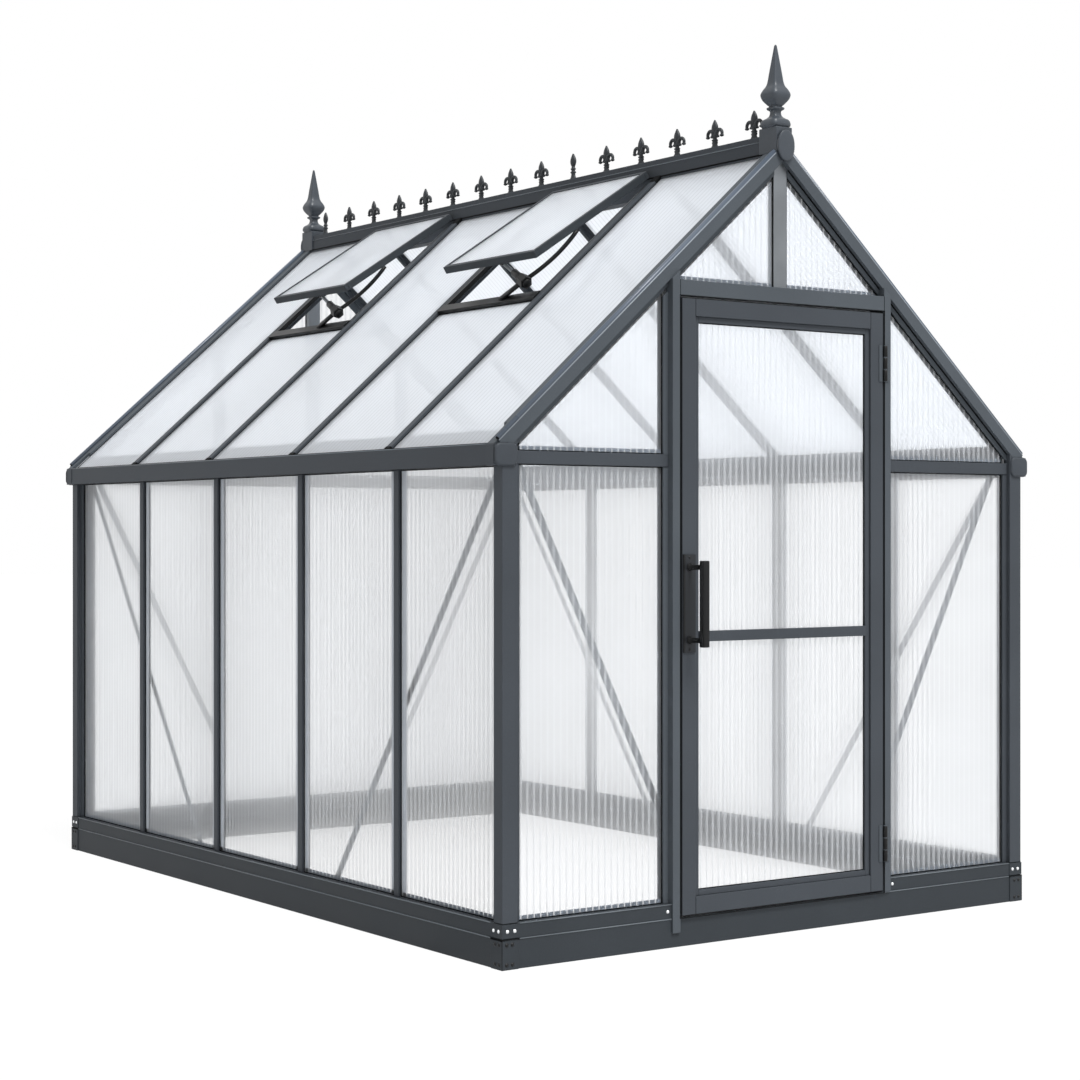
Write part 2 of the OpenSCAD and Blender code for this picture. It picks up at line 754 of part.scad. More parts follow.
// A flap's own frame: X up to its hinge at the ridge, Z out of it.
module on_flap() {
    each_vent() translate([hinge_s, 0, flap_n]) rotate([0, flap_open, 0])
        translate([-flap_len, -flap_wide / 2, 0]) children();
}
module vent_flap_side_bars() {
    color(rail_color) placed() on_flap() for (y = [0, flap_wide - flap_w])
        translate([flap_w, y, 0]) cube([flap_len - 2 * flap_w, flap_w, flap_t]);
}
module vent_flap_cross_bars() {
    color(rail_color) placed() on_flap() for (x = [0, flap_len - flap_w])
        translate([x, 0, 0]) cube([flap_w, flap_wide, flap_t]);
}
module vent_flap_panes() {
    color(pane_color) placed() on_flap()
        translate([flap_w, flap_w, flap_t - pane_t - 3])
            cube([flap_len - 2 * flap_w, flap_wide - 2 * flap_w, pane_t]);
}
opener_r = 9;
link_r = 5;
knuckle_up = 40;        // height of the opener's knuckle over the roof
// Places along Y from the middle of the flap, and one along the flap from its hinge.
opener_low_y = -50;
knuckle_y = -150;
opener_high_y = 120;
link_at = flap_len - 250;
function on_open_flap(d, y) = [hinge_s - d * cos(flap_open), y, flap_n + d * sin(flap_open)];
module rod(a, b, r) {
    // a round rod between two points
    v = b - a;
    translate(a) rotate([0, acos(v[2] / norm(v)), atan2(v[1], v[0])])
        cylinder(r = r, h = norm(v));
}
module vent_openers() {
    low = [curb_s - curb_w / 2, opener_low_y, curb_up];
    knuckle = [curb_s + curb_w / 2, knuckle_y, knuckle_up];
    high = on_open_flap(flap_len - flap_w / 2, opener_high_y);
    side = on_open_flap(link_at, (flap_w - flap_wide) / 2);
    color(black_color) placed() each_vent() difference() {
        union() {
            rod(low, knuckle, opener_r);
            rod(knuckle, high, opener_r);
            rod(knuckle, side, link_r);
            translate(knuckle) sphere(r = 2 * opener_r);
        }
        translate([-big / 2, -big / 2, curb_up - big]) cube(big);
        translate([hinge_s, 0, flap_n]) rotate([0, flap_open, 0])
            translate([-big, -big / 2, 0]) cube(big);
    }
}

// ---- door ----
module door_stiles() {
    color(frame_color) placed() right_too() union() {
        block([-door_w / 2, jamb_face, door_z], [-door_w / 2 + stile_w, door_back, door_top]);
        block([-door_w / 2 + stile_w - sliver, jamb_face + 8, door_z + stile_w],
            [-door_w / 2 + stile_w + bead_w, door_pane_y, door_top - stile_w]);
    }
}
door_pane_y = jamb_face + 16;      // outer face of the door's panes
door_in = door_w / 2 - stile_w;    // inner side of the stiles
module door_rails() {
    color(frame_color) placed() {
        for (z = [door_z, door_top - stile_w])
            block([-door_in, jamb_face, z], [door_in, door_back, z + stile_w]);
        block([-door_in + bead_w, jamb_face + 4, mid_rail_z - mid_rail_h / 2],
            [door_in - bead_w, door_pane_y, mid_rail_z + mid_rail_h / 2]);
    }
}
module door_panes() {
    color(pane_color) placed() block([-door_in, door_pane_y, door_z + stile_w],
        [door_in, door_pane_y + pane_t, door_top - stile_w]);
}
handle_x = -door_w / 2 + stile_w / 2;
module door_handle_plate() {
    color(black_color) placed()
        block([handle_x - plate_w / 2, jamb_face - plate_t, handle_z - plate_h / 2],
            [handle_x + plate_w / 2, jamb_face, handle_z + plate_h / 2]);
}
module door_handle_grip() {
    color(black_color) placed() union() {
        block([handle_x - grip_w / 2, grip_face, handle_z - grip_h / 2],
            [handle_x + grip_w / 2, grip_face + grip_w, handle_z + grip_h / 2]);
        for (side = [-1, 1])
            translate([handle_x, jamb_face - plate_t, handle_z + side * (grip_h / 2 - 20)])
                rotate([90, 0, 0]) cylinder(d = grip_post_d, h = grip_out - grip_w / 2);
    }
}

// ---- hinges: the frame carries two knuckles and the pin, the door one ----
leaf_t = 3;
leaf_w = 15;
knuckle_gap = 0.5;
pin_gap = 0.06;
leaf_far = knuckle_r + 1;
module hinge_leaf(side) {
    block([side > 0 ? leaf_far : -leaf_far - leaf_w, knuckle_r - leaf_t, -hinge_h / 2],
        [side > 0 ? leaf_far + leaf_w : -leaf_far, knuckle_r, hinge_h / 2]);
}
module hinge_bridge(side, z0, z1) {
    block([side > 0 ? 0 : -leaf_far - 1, knuckle_r - leaf_t, z0],
        [side > 0 ? leaf_far + 1 : 0, knuckle_r, z1]);
}
third = hinge_h / 6;
module each_hinge() {
    for (z = [hinge_low_z, hinge_top_z]) translate([axis_x, axis_y, z]) children();
}
module frame_hinge_leaves() {
    color(black_color) placed() each_hinge() union() {
        hinge_leaf(1);
        cylinder(r = pin_r, h = hinge_h, center = true);
        for (z = [-hinge_h / 2, third + knuckle_gap]) {
            translate([0, 0, z]) cylinder(r = knuckle_r, h = 2 * third - knuckle_gap);
            hinge_bridge(1, z, z + 2 * third - knuckle_gap);
        }
    }
}
module door_hinge_leaves() {
    color(black_color) placed() each_hinge() difference() {
        union() {
            hinge_leaf(-1);
            translate([0, 0, -third]) cylinder(r = knuckle_r, h = 2 * third);
            hinge_bridge(-1, -third, third);
        }
        cylinder(r = pin_r + pin_gap, h = hinge_h + 2, center = true);
    }
}

base_side_rails();
base_end_rails();
base_corner_brackets();
side_sills();
gable_sills();
corner_posts();
left_wall_bars();
right_wall_bars();
gutter_left();
gutter_right();
gutter_end_caps();
front_rafters();
rear_rafters();
left_roof_bars();
right_roof_bars();
ridge_beam();
ridge_cresting();
finial_blocks();
finials();
gable_bosses();
gable_eave_rails();
door_jambs();
door_header();
king_bars();
rear_gable_bars();
wall_braces();
gable_braces();
left_wall_panes();
right_wall_panes();
front_gable_panes();
rear_gable_panes();
left_roof_panes();
right_roof_panes();
vent_curbs();
vent_flap_side_bars();
vent_flap_cross_bars();
vent_flap_panes();
vent_openers();
frame_hinge_leaves();
door_stiles();
door_rails();
door_panes();
door_handle_plate();
door_handle_grip();
door_hinge_leaves();
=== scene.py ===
from math import atan2, ceil, copysign, cos, hypot, pi, radians, sin, tan

import bmesh
import bpy
from mathutils import Matrix, Vector


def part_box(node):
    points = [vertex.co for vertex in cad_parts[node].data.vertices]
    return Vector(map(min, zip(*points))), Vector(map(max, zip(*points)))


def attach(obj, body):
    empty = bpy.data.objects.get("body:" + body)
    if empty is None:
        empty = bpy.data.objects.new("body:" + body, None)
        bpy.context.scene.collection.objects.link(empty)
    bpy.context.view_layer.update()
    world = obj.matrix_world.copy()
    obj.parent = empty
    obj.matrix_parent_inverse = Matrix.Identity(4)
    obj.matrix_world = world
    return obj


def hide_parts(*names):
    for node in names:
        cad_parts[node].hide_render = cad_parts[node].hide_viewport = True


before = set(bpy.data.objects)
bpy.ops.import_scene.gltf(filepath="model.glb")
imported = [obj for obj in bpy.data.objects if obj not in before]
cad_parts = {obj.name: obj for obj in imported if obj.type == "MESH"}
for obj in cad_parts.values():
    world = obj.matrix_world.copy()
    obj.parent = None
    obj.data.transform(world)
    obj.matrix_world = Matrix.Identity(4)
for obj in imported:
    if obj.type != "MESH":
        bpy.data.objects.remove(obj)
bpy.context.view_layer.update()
mm = 0.001
noiseSpan = {"From Min": 0.3, "From Max": 0.7}      # nearly all of a noise lies between these


def lengths(**sizes):
    # sizes written in millimetres become metres
    return {key: value * mm for key, value in sizes.items()}


def hexColour(text):
    # sRGB hex to the linear values that Blender takes
    values = [int(text[i:i + 2], 16) / 255 for i in (1, 3, 5)]
    return [v / 12.92 if v <= 0.04045 else ((v + 0.055) / 1.055) ** 2.4 for v in values] + [1]


def addNode(tree, kind, inputs=None, **settings):
    node = tree.nodes.new("ShaderNode" + kind)
    for name, value in settings.items():
        setattr(node, name, value)
    for key, value in (inputs or {}).items():
        if isinstance(value, bpy.types.Node):
            value = value.outputs[0]
        if isinstance(value, bpy.types.NodeSocket):
            tree.links.new(value, node.inputs[key])
        else:
            node.inputs[key].default_value = value
    return node


def newMaterial(name):
    material = bpy.data.materials.new(name)
    material.use_nodes = True
    material.node_tree.nodes.clear()
    return material, material.node_tree


def addObject(name, data):
    made = bpy.data.objects.new(name, data)
    bpy.context.scene.collection.objects.link(made)
    return made


def meshFrom(name, bm, materials):
    mesh = bpy.data.meshes.new(name)
    bm.to_mesh(mesh)
    bm.free()
    for material in materials:
        mesh.materials.append(material)
    return mesh


def buildMesh(name, bm, materials, body="frame"):
    # turns a bmesh into an object that rides on a body
    bmesh.ops.recalc_face_normals(bm, faces=bm.faces)
    piece = addObject(name, meshFrom(name, bm, materials))
    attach(piece, body)
    return piece


def addBlock(bm, one, two, material=0):
    # a box between any two opposite corners
    low, high = (Vector([pick(pair) for pair in zip(one, two)]) for pick in (min, max))
    matrix = Matrix.Translation((low + high) / 2) @ Matrix.Diagonal((*(high - low), 1))
    made = bmesh.ops.create_cube(bm, size=1, matrix=matrix)
    for face in {f for v in made["verts"] for f in v.link_faces}:
        face.material_index = material


def softenEdges(piece, width):
    # rounds the hard edges so that they catch a thin line of light
    weld = piece.modifiers.new("weld", "WELD")
    weld.merge_threshold = 0.05 * mm
    bevel = piece.modifiers.new("soft edge", "BEVEL")
    bevel.width = width
    bevel.segments = 2
    bevel.limit_method = "ANGLE"
    bevel.angle_limit = radians(35)


def solidsOf(node):
    # the separate solids of a CAD node, with their corners, edges and faces
    bm = bmesh.new()
    bm.from_mesh(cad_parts[node].data)
    bmesh.ops.remove_doubles(bm, verts=bm.verts, dist=0.02 * mm)
    left, solids = set(bm.verts), []
    while left:
        group, stack = [], [left.pop()]
        while stack:
            group.append(stack.pop())
            near = {v for e in group[-1].link_edges for v in e.verts} & left
            left -= near
            stack += near
        low, high = (Vector([pick(v.co[i] for v in group) for i in range(3)])
                     for pick in (min, max))
        edges = [[v.co.copy() for v in e.verts] for e in {e for v in group for e in v.link_edges}]
        faces = [[v.co.copy() for v in f.verts] for f in {f for v in group for f in v.link_faces}]
        solids.append({"low": low, "high": high, "edges": edges, "faces": faces})
    bm.free()
    return sorted(solids, key=lambda s: tuple(round(c, 3) for c in s["low"]))


def boxesOf(node):
    return [(solid["low"], solid["high"]) for solid in solidsOf(node)]


# powder coat: "drift" is how far apart its lighter and darker patches lie, "peel" the depth of
# the orange peel; "tone", "speck" and "gloss" say how much colour and roughness change
coating = {"drift": 1000 / 3 * mm, "peel": 0.4 * mm, "tone": 0.07, "speck": 0.04, "gloss": 0.05}


def powderCoat(name, colour, rough=0.5, grainMm=2.2, relief=0.05, shine=0.12):
    # powder-coated aluminium: an even matt skin with a faint orange peel, so the light breaks
    # up softly along a bar and the colour drifts a little. The real peel is about 1 mm wide;
    # its grain is drawn coarser so that it shows
    material, tree = newMaterial(name)
    place = addNode(tree, "TexCoord").outputs["Object"]
    drift = addNode(tree, "TexNoise",
                    {"Vector": place, "Scale": 1 / coating["drift"], "Detail": 3.0})
    peel = addNode(tree, "TexNoise",
                   {"Vector": place, "Scale": 1 / (2 * grainMm * mm), "Detail": 2.0})
    tone = addNode(tree, "MapRange", {"Value": drift, **noiseSpan, "To Min": 1 - coating["tone"],
                                      "To Max": 1 + coating["tone"]})
    speck = addNode(tree, "MapRange", {"Value": peel, **noiseSpan, "To Min": 1 - coating["speck"],
                                       "To Max": 1 + coating["speck"]})
    both = addNode(tree, "Math", {0: tone, 1: speck}, operation="MULTIPLY")
    tint = addNode(tree, "VectorMath", {0: hexColour(colour)[:3], 1: both}, operation="MULTIPLY")
    gloss = addNode(tree, "MapRange", {"Value": drift, **noiseSpan,
                                       "To Min": rough - coating["gloss"],
                                       "To Max": rough + coating["gloss"]})
    bump = addNode(tree, "Bump",
                   {"Height": peel, "Strength": relief, "Distance": coating["peel"]})
    shader = addNode(tree, "BsdfPrincipled", {"Base Color": tint, "Roughness": gloss,
                                              "Normal": bump, "Specular IOR Level": shine})
    addNode(tree, "OutputMaterial", {"Surface": shader})
    return material


extrusion = {"drift": 1000 / 9 * mm, "dieLine": 1000 / 260 * mm, "deep": 0.3 * mm, "relief": 0.12}


def extrudedAluminium(name, colour, rough=0.4):
    # mill-finish aluminium: dull grey, with die lines that blur what it mirrors; real ones are
    # finer than 1 mm and are drawn almost 4 mm wide so that they show
    material, tree = newMaterial(name)
    place = addNode(tree, "TexCoord").outputs["Object"]
    drift = addNode(tree, "TexNoise",
                    {"Vector": place, "Scale": 1 / extrusion["drift"], "Detail": 4.0})
    grain = addNode(tree, "TexNoise",
                    {"Vector": place, "Scale": 1 / extrusion["dieLine"], "Detail": 3.0})
    tone = addNode(tree, "MapRange", {"Value": drift, **noiseSpan, "To Min": 0.88, "To Max": 1.1})
    tint = addNode(tree, "VectorMath", {0: hexColour(colour)[:3], 1: tone}, operation="MULTIPLY")
    gloss = addNode(tree, "MapRange",
                    {"Value": grain, "To Min": rough - 0.1, "To Max": rough + 0.12})
    bump = addNode(tree, "Bump", {"Height": grain, "Strength": extrusion["relief"],
                                  "Distance": extrusion["deep"]})
    shader = addNode(tree, "BsdfPrincipled", {"Base Color": tint, "Metallic": 0.85,
                                              "Roughness": gloss, "Normal": bump})
    addNode(tree, "OutputMaterial", {"Surface": shader})
    return material


plating = {"cloud": 2.5 * mm, "smooth": 0.22, "dull": 0.42}


def zincPlatedSteel(name, colour):
    # zinc-plated steel bolts: small bright heads with a faint cloudy plating
    material, tree = newMaterial(name)
    place = addNode(tree, "TexCoord").outputs["Object"]
    cloud = addNode(tree, "TexNoise",
                    {"Vector": place, "Scale": 1 / plating["cloud"], "Detail": 2.0})
    gloss = addNode(tree, "MapRange",
                    {"Value": cloud, "To Min": plating["smooth"], "To Max": plating["dull"]})
    shader = addNode(tree, "BsdfPrincipled",
                     {"Base Color": hexColour(colour), "Metallic": 0.7, "Roughness": gloss})
    addNode(tree, "OutputMaterial", {"Surface": shader})
    return material


# twin-wall sheet: two skins joined by webs. "cover" is the share of light that a skin doesn't
# pass straight on. Where a web meets a skin, "lines" is how much denser it is and "lineTone"
# how much darker; "milk" is the light that only scatters, "through" what glows from the other
# side, "weld" a fused line, really about 1 mm but drawn wider to show, "web" a web's density
sheet = {
    "ribPitch": 24 * mm,
    "blur": 0.7,             # far things dissolve, near things stay readable
    "bend": 1.055,           # the skins are thin shells, so they bend light only a little
    "bandHigh": 450 * mm,    # between the soft bright and dull bands of a long sheet
    "bandWide": 1600 * mm,
    "bandTone": 0.04,
    "cloud": 1000 / 30 * mm, # between the denser and thinner places of a web
    "web": "#dfe3e8",
}
gableSheet = {"colour": "#fafcff", "cover": 0.38, "across": "X", "weld": 6.5 * mm,
              "lines": 0.22, "lineTone": 0.6, "milk": 0.14, "through": 0, "web": 0.22}
sideSheet = {"colour": "#fdfeff", "cover": 0.42, "across": "Y", "weld": 6 * mm,
             "lines": 0.3, "lineTone": 0.6, "milk": 0.03, "through": 0, "web": 0.3}
roofSheet = {"colour": "#f8fbff", "cover": 0.5, "across": "Y", "weld": 8 * mm,
             "lines": 0.5, "lineTone": 0.5, "milk": 0.7, "through": 0.36, "web": 0.2}


def twinWallSkin(name, kind):
    # extruded twin-wall polycarbonate: it passes most light but spreads it, so near bars stay
    # crisp, the far side turns to soft bands and the fused ribs show as fine even lines
    material, tree = newMaterial(name)
    place = addNode(tree, "TexCoord").outputs["Object"]
    axes = addNode(tree, "SeparateXYZ", {"Vector": place})
    cell = addNode(tree, "Math", {0: axes.outputs[kind["across"]], 1: sheet["ribPitch"]},
                   operation="DIVIDE")
    share = addNode(tree, "Math", {0: cell, 1: 0.5}, operation="PINGPONG")
    weld = addNode(tree, "MapRange",
                   {"Value": share, "From Min": 0.0,
                    "From Max": kind["weld"] / sheet["ribPitch"] / 2,
                    "To Min": 1.0, "To Max": 0.0})
    long = 1 / sheet["bandWide"]
    stretched = addNode(tree, "VectorMath", {0: place, 1: (long, long, 1 / sheet["bandHigh"])},
                        operation="MULTIPLY")
    cloud = addNode(tree, "TexNoise", {"Vector": stretched, "Scale": 1.0, "Detail": 1.0})
    band = addNode(tree, "MapRange", {"Value": cloud, "From Min": 0.35, "From Max": 0.65,
                                      "To Min": 1 - sheet["bandTone"], "To Max": 1.0})
    cover = addNode(tree, "MapRange", {"Value": cloud, **noiseSpan,
                                       "To Min": kind["cover"] - 0.05,
                                       "To Max": kind["cover"] + 0.05})
    total = addNode(tree, "Math", {0: weld, 1: kind["lines"], 2: cover},
                    operation="MULTIPLY_ADD")
    tone = addNode(tree, "MapRange", {"Value": weld, "To Min": 1.0, "To Max": kind["lineTone"]})
    clear = addNode(tree, "MapRange", {"Value": weld, "To Min": 1 - kind["milk"], "To Max": 0.15})
    both = addNode(tree, "Math", {0: tone, 1: band}, operation="MULTIPLY")
    tint = addNode(tree, "VectorMath", {0: hexColour(kind["colour"])[:3], 1: both},
                   operation="MULTIPLY")
    shader = addNode(tree, "BsdfPrincipled",
                     {"Base Color": tint, "Roughness": sheet["blur"], "IOR": sheet["bend"],
                      "Transmission Weight": clear, "Alpha": total, "Coat Weight": 0.6,
                      "Coat Roughness": 0.12, "Coat IOR": 1.5})
    if kind["through"]:
        through = addNode(tree, "BsdfTranslucent", {"Color": tint})
        shader = addNode(tree, "MixShader", {0: kind["through"], 1: shader, 2: through})
    addNode(tree, "OutputMaterial", {"Surface": shader})
    return material


def twinWallWeb(name, kind):
    # the webs inside the sheet: seen nearly edge on, so they read as pale threads over
    # dark things and as thin grey lines over white
    material, tree = newMaterial(name)
    place = addNode(tree, "TexCoord").outputs["Object"]
    cloud = addNode(tree, "TexNoise", {"Vector": place, "Scale": 1 / sheet["cloud"],
                                       "Detail": 1.0})
    cover = addNode(tree, "MapRange", {"Value": cloud, **noiseSpan,
                                       "To Min": kind["web"] * 0.85,
                                       "To Max": kind["web"] * 1.15})
    shader = addNode(tree, "BsdfPrincipled", {"Base Color": hexColour(sheet["web"]),
                                              "Roughness": 0.3, "IOR": 1.58, "Alpha": cover})
    addNode(tree, "OutputMaterial", {"Surface": shader})
    return material


wallCoat = powderCoat("powder coated aluminium frame", "#3b3f44")
# painted light: a lighter copy of the frame coat, for the bars that stand higher in the light
upperCoat = powderCoat("powder coated aluminium gable", "#454a4f")
eaveCoat = powderCoat("powder coated aluminium eaves", "#3a3e43")
railCoat = powderCoat("powder coated aluminium base", "#303438")
castCoat = powderCoat("powder coated castings", "#3c4147", rough=0.4, grainMm=3.0, relief=0.12,
                      shine=0.3)
blackCoat = powderCoat("satin black coat", "#131415", rough=0.36, grainMm=1.6, shine=0.2)
crestCoat = powderCoat("powder coated cresting", "#2b2e31", rough=0.42, grainMm=3.0, relief=0.12,
                       shine=0.25)
flapCoat = powderCoat("powder coated vent flaps", "#33373b")
plateCoat = powderCoat("satin black door plate", "#26282b", rough=0.42, grainMm=1.6, shine=0.2)
millBar = extrudedAluminium("mill finish aluminium", "#7d8185")
# black rubber, also used as painted shade: grooves, open tube ends and the strips under the sills,
# ridge and gutters
gasketRubber = powderCoat("black gasket rubber", "#0c0d0e", rough=0.7, grainMm=1.2, shine=0.08)
boltHead = zincPlatedSteel("zinc plated bolts", "#e9ebec")
darkBolt = powderCoat("blackened steel bolts", "#161718", rough=0.4, grainMm=1.0, shine=0.25)
# painted reflection: the dark coat is tinted lighter and bluish, as if the tube mirrored the sky
tubeCoat = powderCoat("powder coated roof edge tube", "#4d5662", rough=0.32, shine=0.35)
# painted highlight: a light grey that stands in for a thin lit edge
edgeCoat = powderCoat("rubbed bright edges", "#868c93", rough=0.35, shine=0.3)
# painted highlight: a lighter grey for the beads that stand in for lit edges
beadCoat = powderCoat("lit extrusion beads", "#5d6368", rough=0.4, shine=0.2)
# painted light: the dark inner flanges and seams are drawn pale, for the light they take on through
# the sheets
flangeCoat = powderCoat("inner glazing flanges", "#a2a7ae")
tapeCoat = powderCoat("sheet end tape", "#59616b")
openerSleeve = extrudedAluminium("anodised opener sleeve", "#8f9499", rough=0.35)
gableSkin = twinWallSkin("twin wall polycarbonate gable", gableSheet)
sideSkin = twinWallSkin("twin wall polycarbonate side", sideSheet)
roofSkin = twinWallSkin("twin wall polycarbonate roof", roofSheet)
gableWeb = twinWallWeb("polycarbonate webs gable", gableSheet)
sideWeb = twinWallWeb("polycarbonate webs side", sideSheet)
roofWeb = twinWallWeb("polycarbonate webs roof", roofSheet)
print("materials made")


camera = {"place": (-4.749, -6.877, 1.271), "yaw": 35.22, "lens": 74.23, "shift": -0.0043}
eye = bpy.data.cameras.new("camera")
eye.lens = camera["lens"]
eye.sensor_width = 36
eye.shift_y = camera["shift"]
eye.clip_end = 200
eyeObject = addObject("camera", eye)
eyeObject.location = camera["place"]
eyeObject.rotation_euler = (pi / 2, 0, -radians(camera["yaw"]))
scene = bpy.context.scene
scene.camera = eyeObject
scene.view_settings.view_transform = "Standard"
scene.cycles.transparent_max_bounces = 32    # many clear skins lie behind each other

studio = {"sky": 0.56, "key": 4.0, "keyFrom": (0.0, -0.6, 1.0), "keySpread": 24,
          "floor": "#eeeff0", "glow": 0.93, "glowLevel": 1.02, "indoors": 0.97}


def seenRay(tree, path):
    # 1 for a ray that the camera sends, also by a mirror or through a clear sheet
    seen = path.outputs["Is Camera Ray"]
    for ray in ("Is Glossy Ray", "Is Transmission Ray"):
        seen = addNode(tree, "Math", {0: seen, 1: path.outputs[ray]}, operation="MAXIMUM")
    return seen


def plainStudio():
    world = bpy.data.worlds.new("studio")
    scene.world = world
    world.use_nodes = True
    tree = world.node_tree
    tree.nodes.clear()
    seen = seenRay(tree, addNode(tree, "LightPath"))
    strength = addNode(tree, "MapRange", {"Value": seen, "To Min": studio["sky"], "To Max": 1.0})
    back = addNode(tree, "Background", {"Color": (1, 1, 1, 1), "Strength": strength})
    addNode(tree, "OutputWorld", {"Surface": back})
    lamp = bpy.data.lights.new("key", "SUN")
    lamp.energy = studio["key"]
    lamp.angle = radians(studio["keySpread"])
    key = addObject("key", lamp)
    key.rotation_euler = Vector(studio["keyFrom"]).to_track_quat("Z", "Y").to_euler()


def paleFloor():
    # white to the camera, with only the object's soft shadow on it
    material, tree = newMaterial("pale floor")
    path = addNode(tree, "LightPath")
    seen = seenRay(tree, path)
    # behind a sheet the ground is a little greyer, as it lies in the house's own shade
    behind = addNode(tree, "Math", {0: path.outputs["Transparent Depth"], 1: 1},
                     operation="MINIMUM")
    inside = addNode(tree, "Math", {0: behind, 1: path.outputs["Is Transmission Ray"]},
                     operation="MAXIMUM")
    level = addNode(tree, "MapRange", {"Value": inside, "To Min": studio["glowLevel"],
                                       "To Max": studio["indoors"]})
    glow = addNode(tree, "Emission", {"Color": (1, 1, 1, 1), "Strength": level})
    matt = addNode(tree, "BsdfDiffuse", {"Color": hexColour(studio["floor"])})
    share = addNode(tree, "Math", {0: seen, 1: studio["glow"]}, operation="MULTIPLY")
    mixed = addNode(tree, "MixShader", {0: share, 1: matt, 2: glow})
    addNode(tree, "OutputMaterial", {"Surface": mixed})
    bm = bmesh.new()
    bmesh.ops.create_grid(bm, x_segments=1, y_segments=1, size=60)
    floor = addObject("floor", meshFrom("floor", bm, [material]))
    floor.location.z = -0.5 * mm


plainStudio()
paleFloor()
print("studio set")


def ribFace(solid, axis, value):
    # the web where a plane cuts a convex sheet
    points = []
    for a, b in solid["edges"]:
        da, db = a[axis] - value, b[axis] - value
        if da * db < 0:
            points.append(a.lerp(b, da / (da - db)))
    if len(points) < 3:
        return None
    middle = sum(points, Vector()) / len(points)
    u, v = [i for i in range(3) if i != axis]
    points.sort(key=lambda p: atan2(p[v] - middle[v], p[u] - middle[u]))
    kept = []
    for p in points:
        if not kept or (p - kept[-1]).length > 0.4 * mm:
            kept.append(p)
    return kept if len(kept) > 2 else None


def twinWallSheets(node, skin, web, axis, body="frame"):
    # each sheet keeps its outline and gets its row of webs
    bm = bmesh.new()
    step = sheet["ribPitch"]
    for solid in solidsOf(node):
        for corners in solid["faces"]:
            bm.faces.new([bm.verts.new(p) for p in corners])
        bmesh.ops.remove_doubles(bm, verts=bm.verts, dist=0.01 * mm)
        first = ceil(solid["low"][axis] / step)
        last = int(solid["high"][axis] // step)
        for k in range(first, last + 1):
            cut = ribFace(solid, axis, k * step)
            if cut:
                bm.faces.new([bm.verts.new(p) for p in cut]).material_index = 1
    piece = addObject(node + "Sheets", meshFrom(node, bm, [skin, web]))
    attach(piece, body)
    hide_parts(node)


for node in ("left_wall_panes", "right_wall_panes"):
    twinWallSheets(node, sideSkin, sideWeb, 1)
for node in ("front_gable_panes", "rear_gable_panes"):
    twinWallSheets(node, gableSkin, gableWeb, 0)
for node in ("left_roof_panes", "right_roof_panes", "vent_flap_panes"):
    twinWallSheets(node, roofSkin, roofWeb, 1)
twinWallSheets("door_panes", gableSkin, gableWeb, 0, "door")
print("sheets made")


# sizes shared by the trim, from the outer face of the frame inward
trim = lengths(paneDepth=25, postWidth=54, postDepth=46, lip=18, barHead=30, barProud=10,
               jambWidth=30, rafter=40, king=56, stile=56, bead=18)
sillLow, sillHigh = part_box("side_sills")
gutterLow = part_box("gutter_left")[0]
gutterReach = -gutterLow.x            # outermost plane of the gutters
ridgeLow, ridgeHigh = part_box("ridge_beam")
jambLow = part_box("door_jambs")[0]
headerLow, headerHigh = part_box("door_header")
eaveLow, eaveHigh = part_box("gable_eave_rails")
baseLow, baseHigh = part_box("base_corner_brackets")
blockLow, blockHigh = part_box("finial_blocks")
faceX = sillHigh.x                    # outer face of the side walls
frontY, rearY = sillLow.y, sillHigh.y
wallEnds = ((-1, frontY), (1, rearY))
middleY = (frontY + rearY) / 2
bayEdges = [(low.y + high.y) / 2 for low, high in boxesOf("left_wall_bars")]
jambIn = (headerHigh.x - headerLow.x) / 2
jambSide = jambIn + trim["jambWidth"]
eaveX = faceX + 23 * mm               # where the roof surface meets the gutter top
eaveZ = gutterLow.z + 64 * mm
ridgeHalf = (ridgeHigh.x - ridgeLow.x) / 2
roofTopZ = ridgeHigh.z - 57 * mm
ventHalf = (bayEdges[1] - bayEdges[0]) / 2 - 34 * mm     # half the width of a flap
pitch = atan2(roofTopZ - eaveZ, eaveX - ridgeHalf)
slopeLength = hypot(eaveX - ridgeHalf, roofTopZ - eaveZ)


def roofZ(x, depth=0.0):
    # height of the plane that lies depth under the roof surface
    return eaveZ + (eaveX - abs(x)) * tan(pitch) - depth / cos(pitch)


def roofPoint(side, s, y, out=0.0):
    # side is -1 or 1, s is up the slope from the gutter, out is above the roof surface
    x = eaveX - s * cos(pitch) + out * sin(pitch)
    return Vector((side * x, y, eaveZ + s * sin(pitch) + out * cos(pitch)))


def roofUp(side):
    return (roofPoint(side, 0, 0, 1) - roofPoint(side, 0, 0, 0)).normalized()


def addLoft(bm, rings, material=0, smooth=True):
    # a skin over a row of rings, closed at both ends
    rows = [[bm.verts.new(p) for p in ring] for ring in rings]
    count = len(rows[0])
    sides = [[lower[k], lower[(k + 1) % count], upper[(k + 1) % count], upper[k]]
             for lower, upper in zip(rows, rows[1:]) for k in range(count)]
    for corners in sides + [rows[0], rows[-1]]:
        face = bm.faces.new(corners)
        face.material_index = material
        face.smooth = smooth


def turns(count):
    return [2 * pi * k / count for k in range(count)]


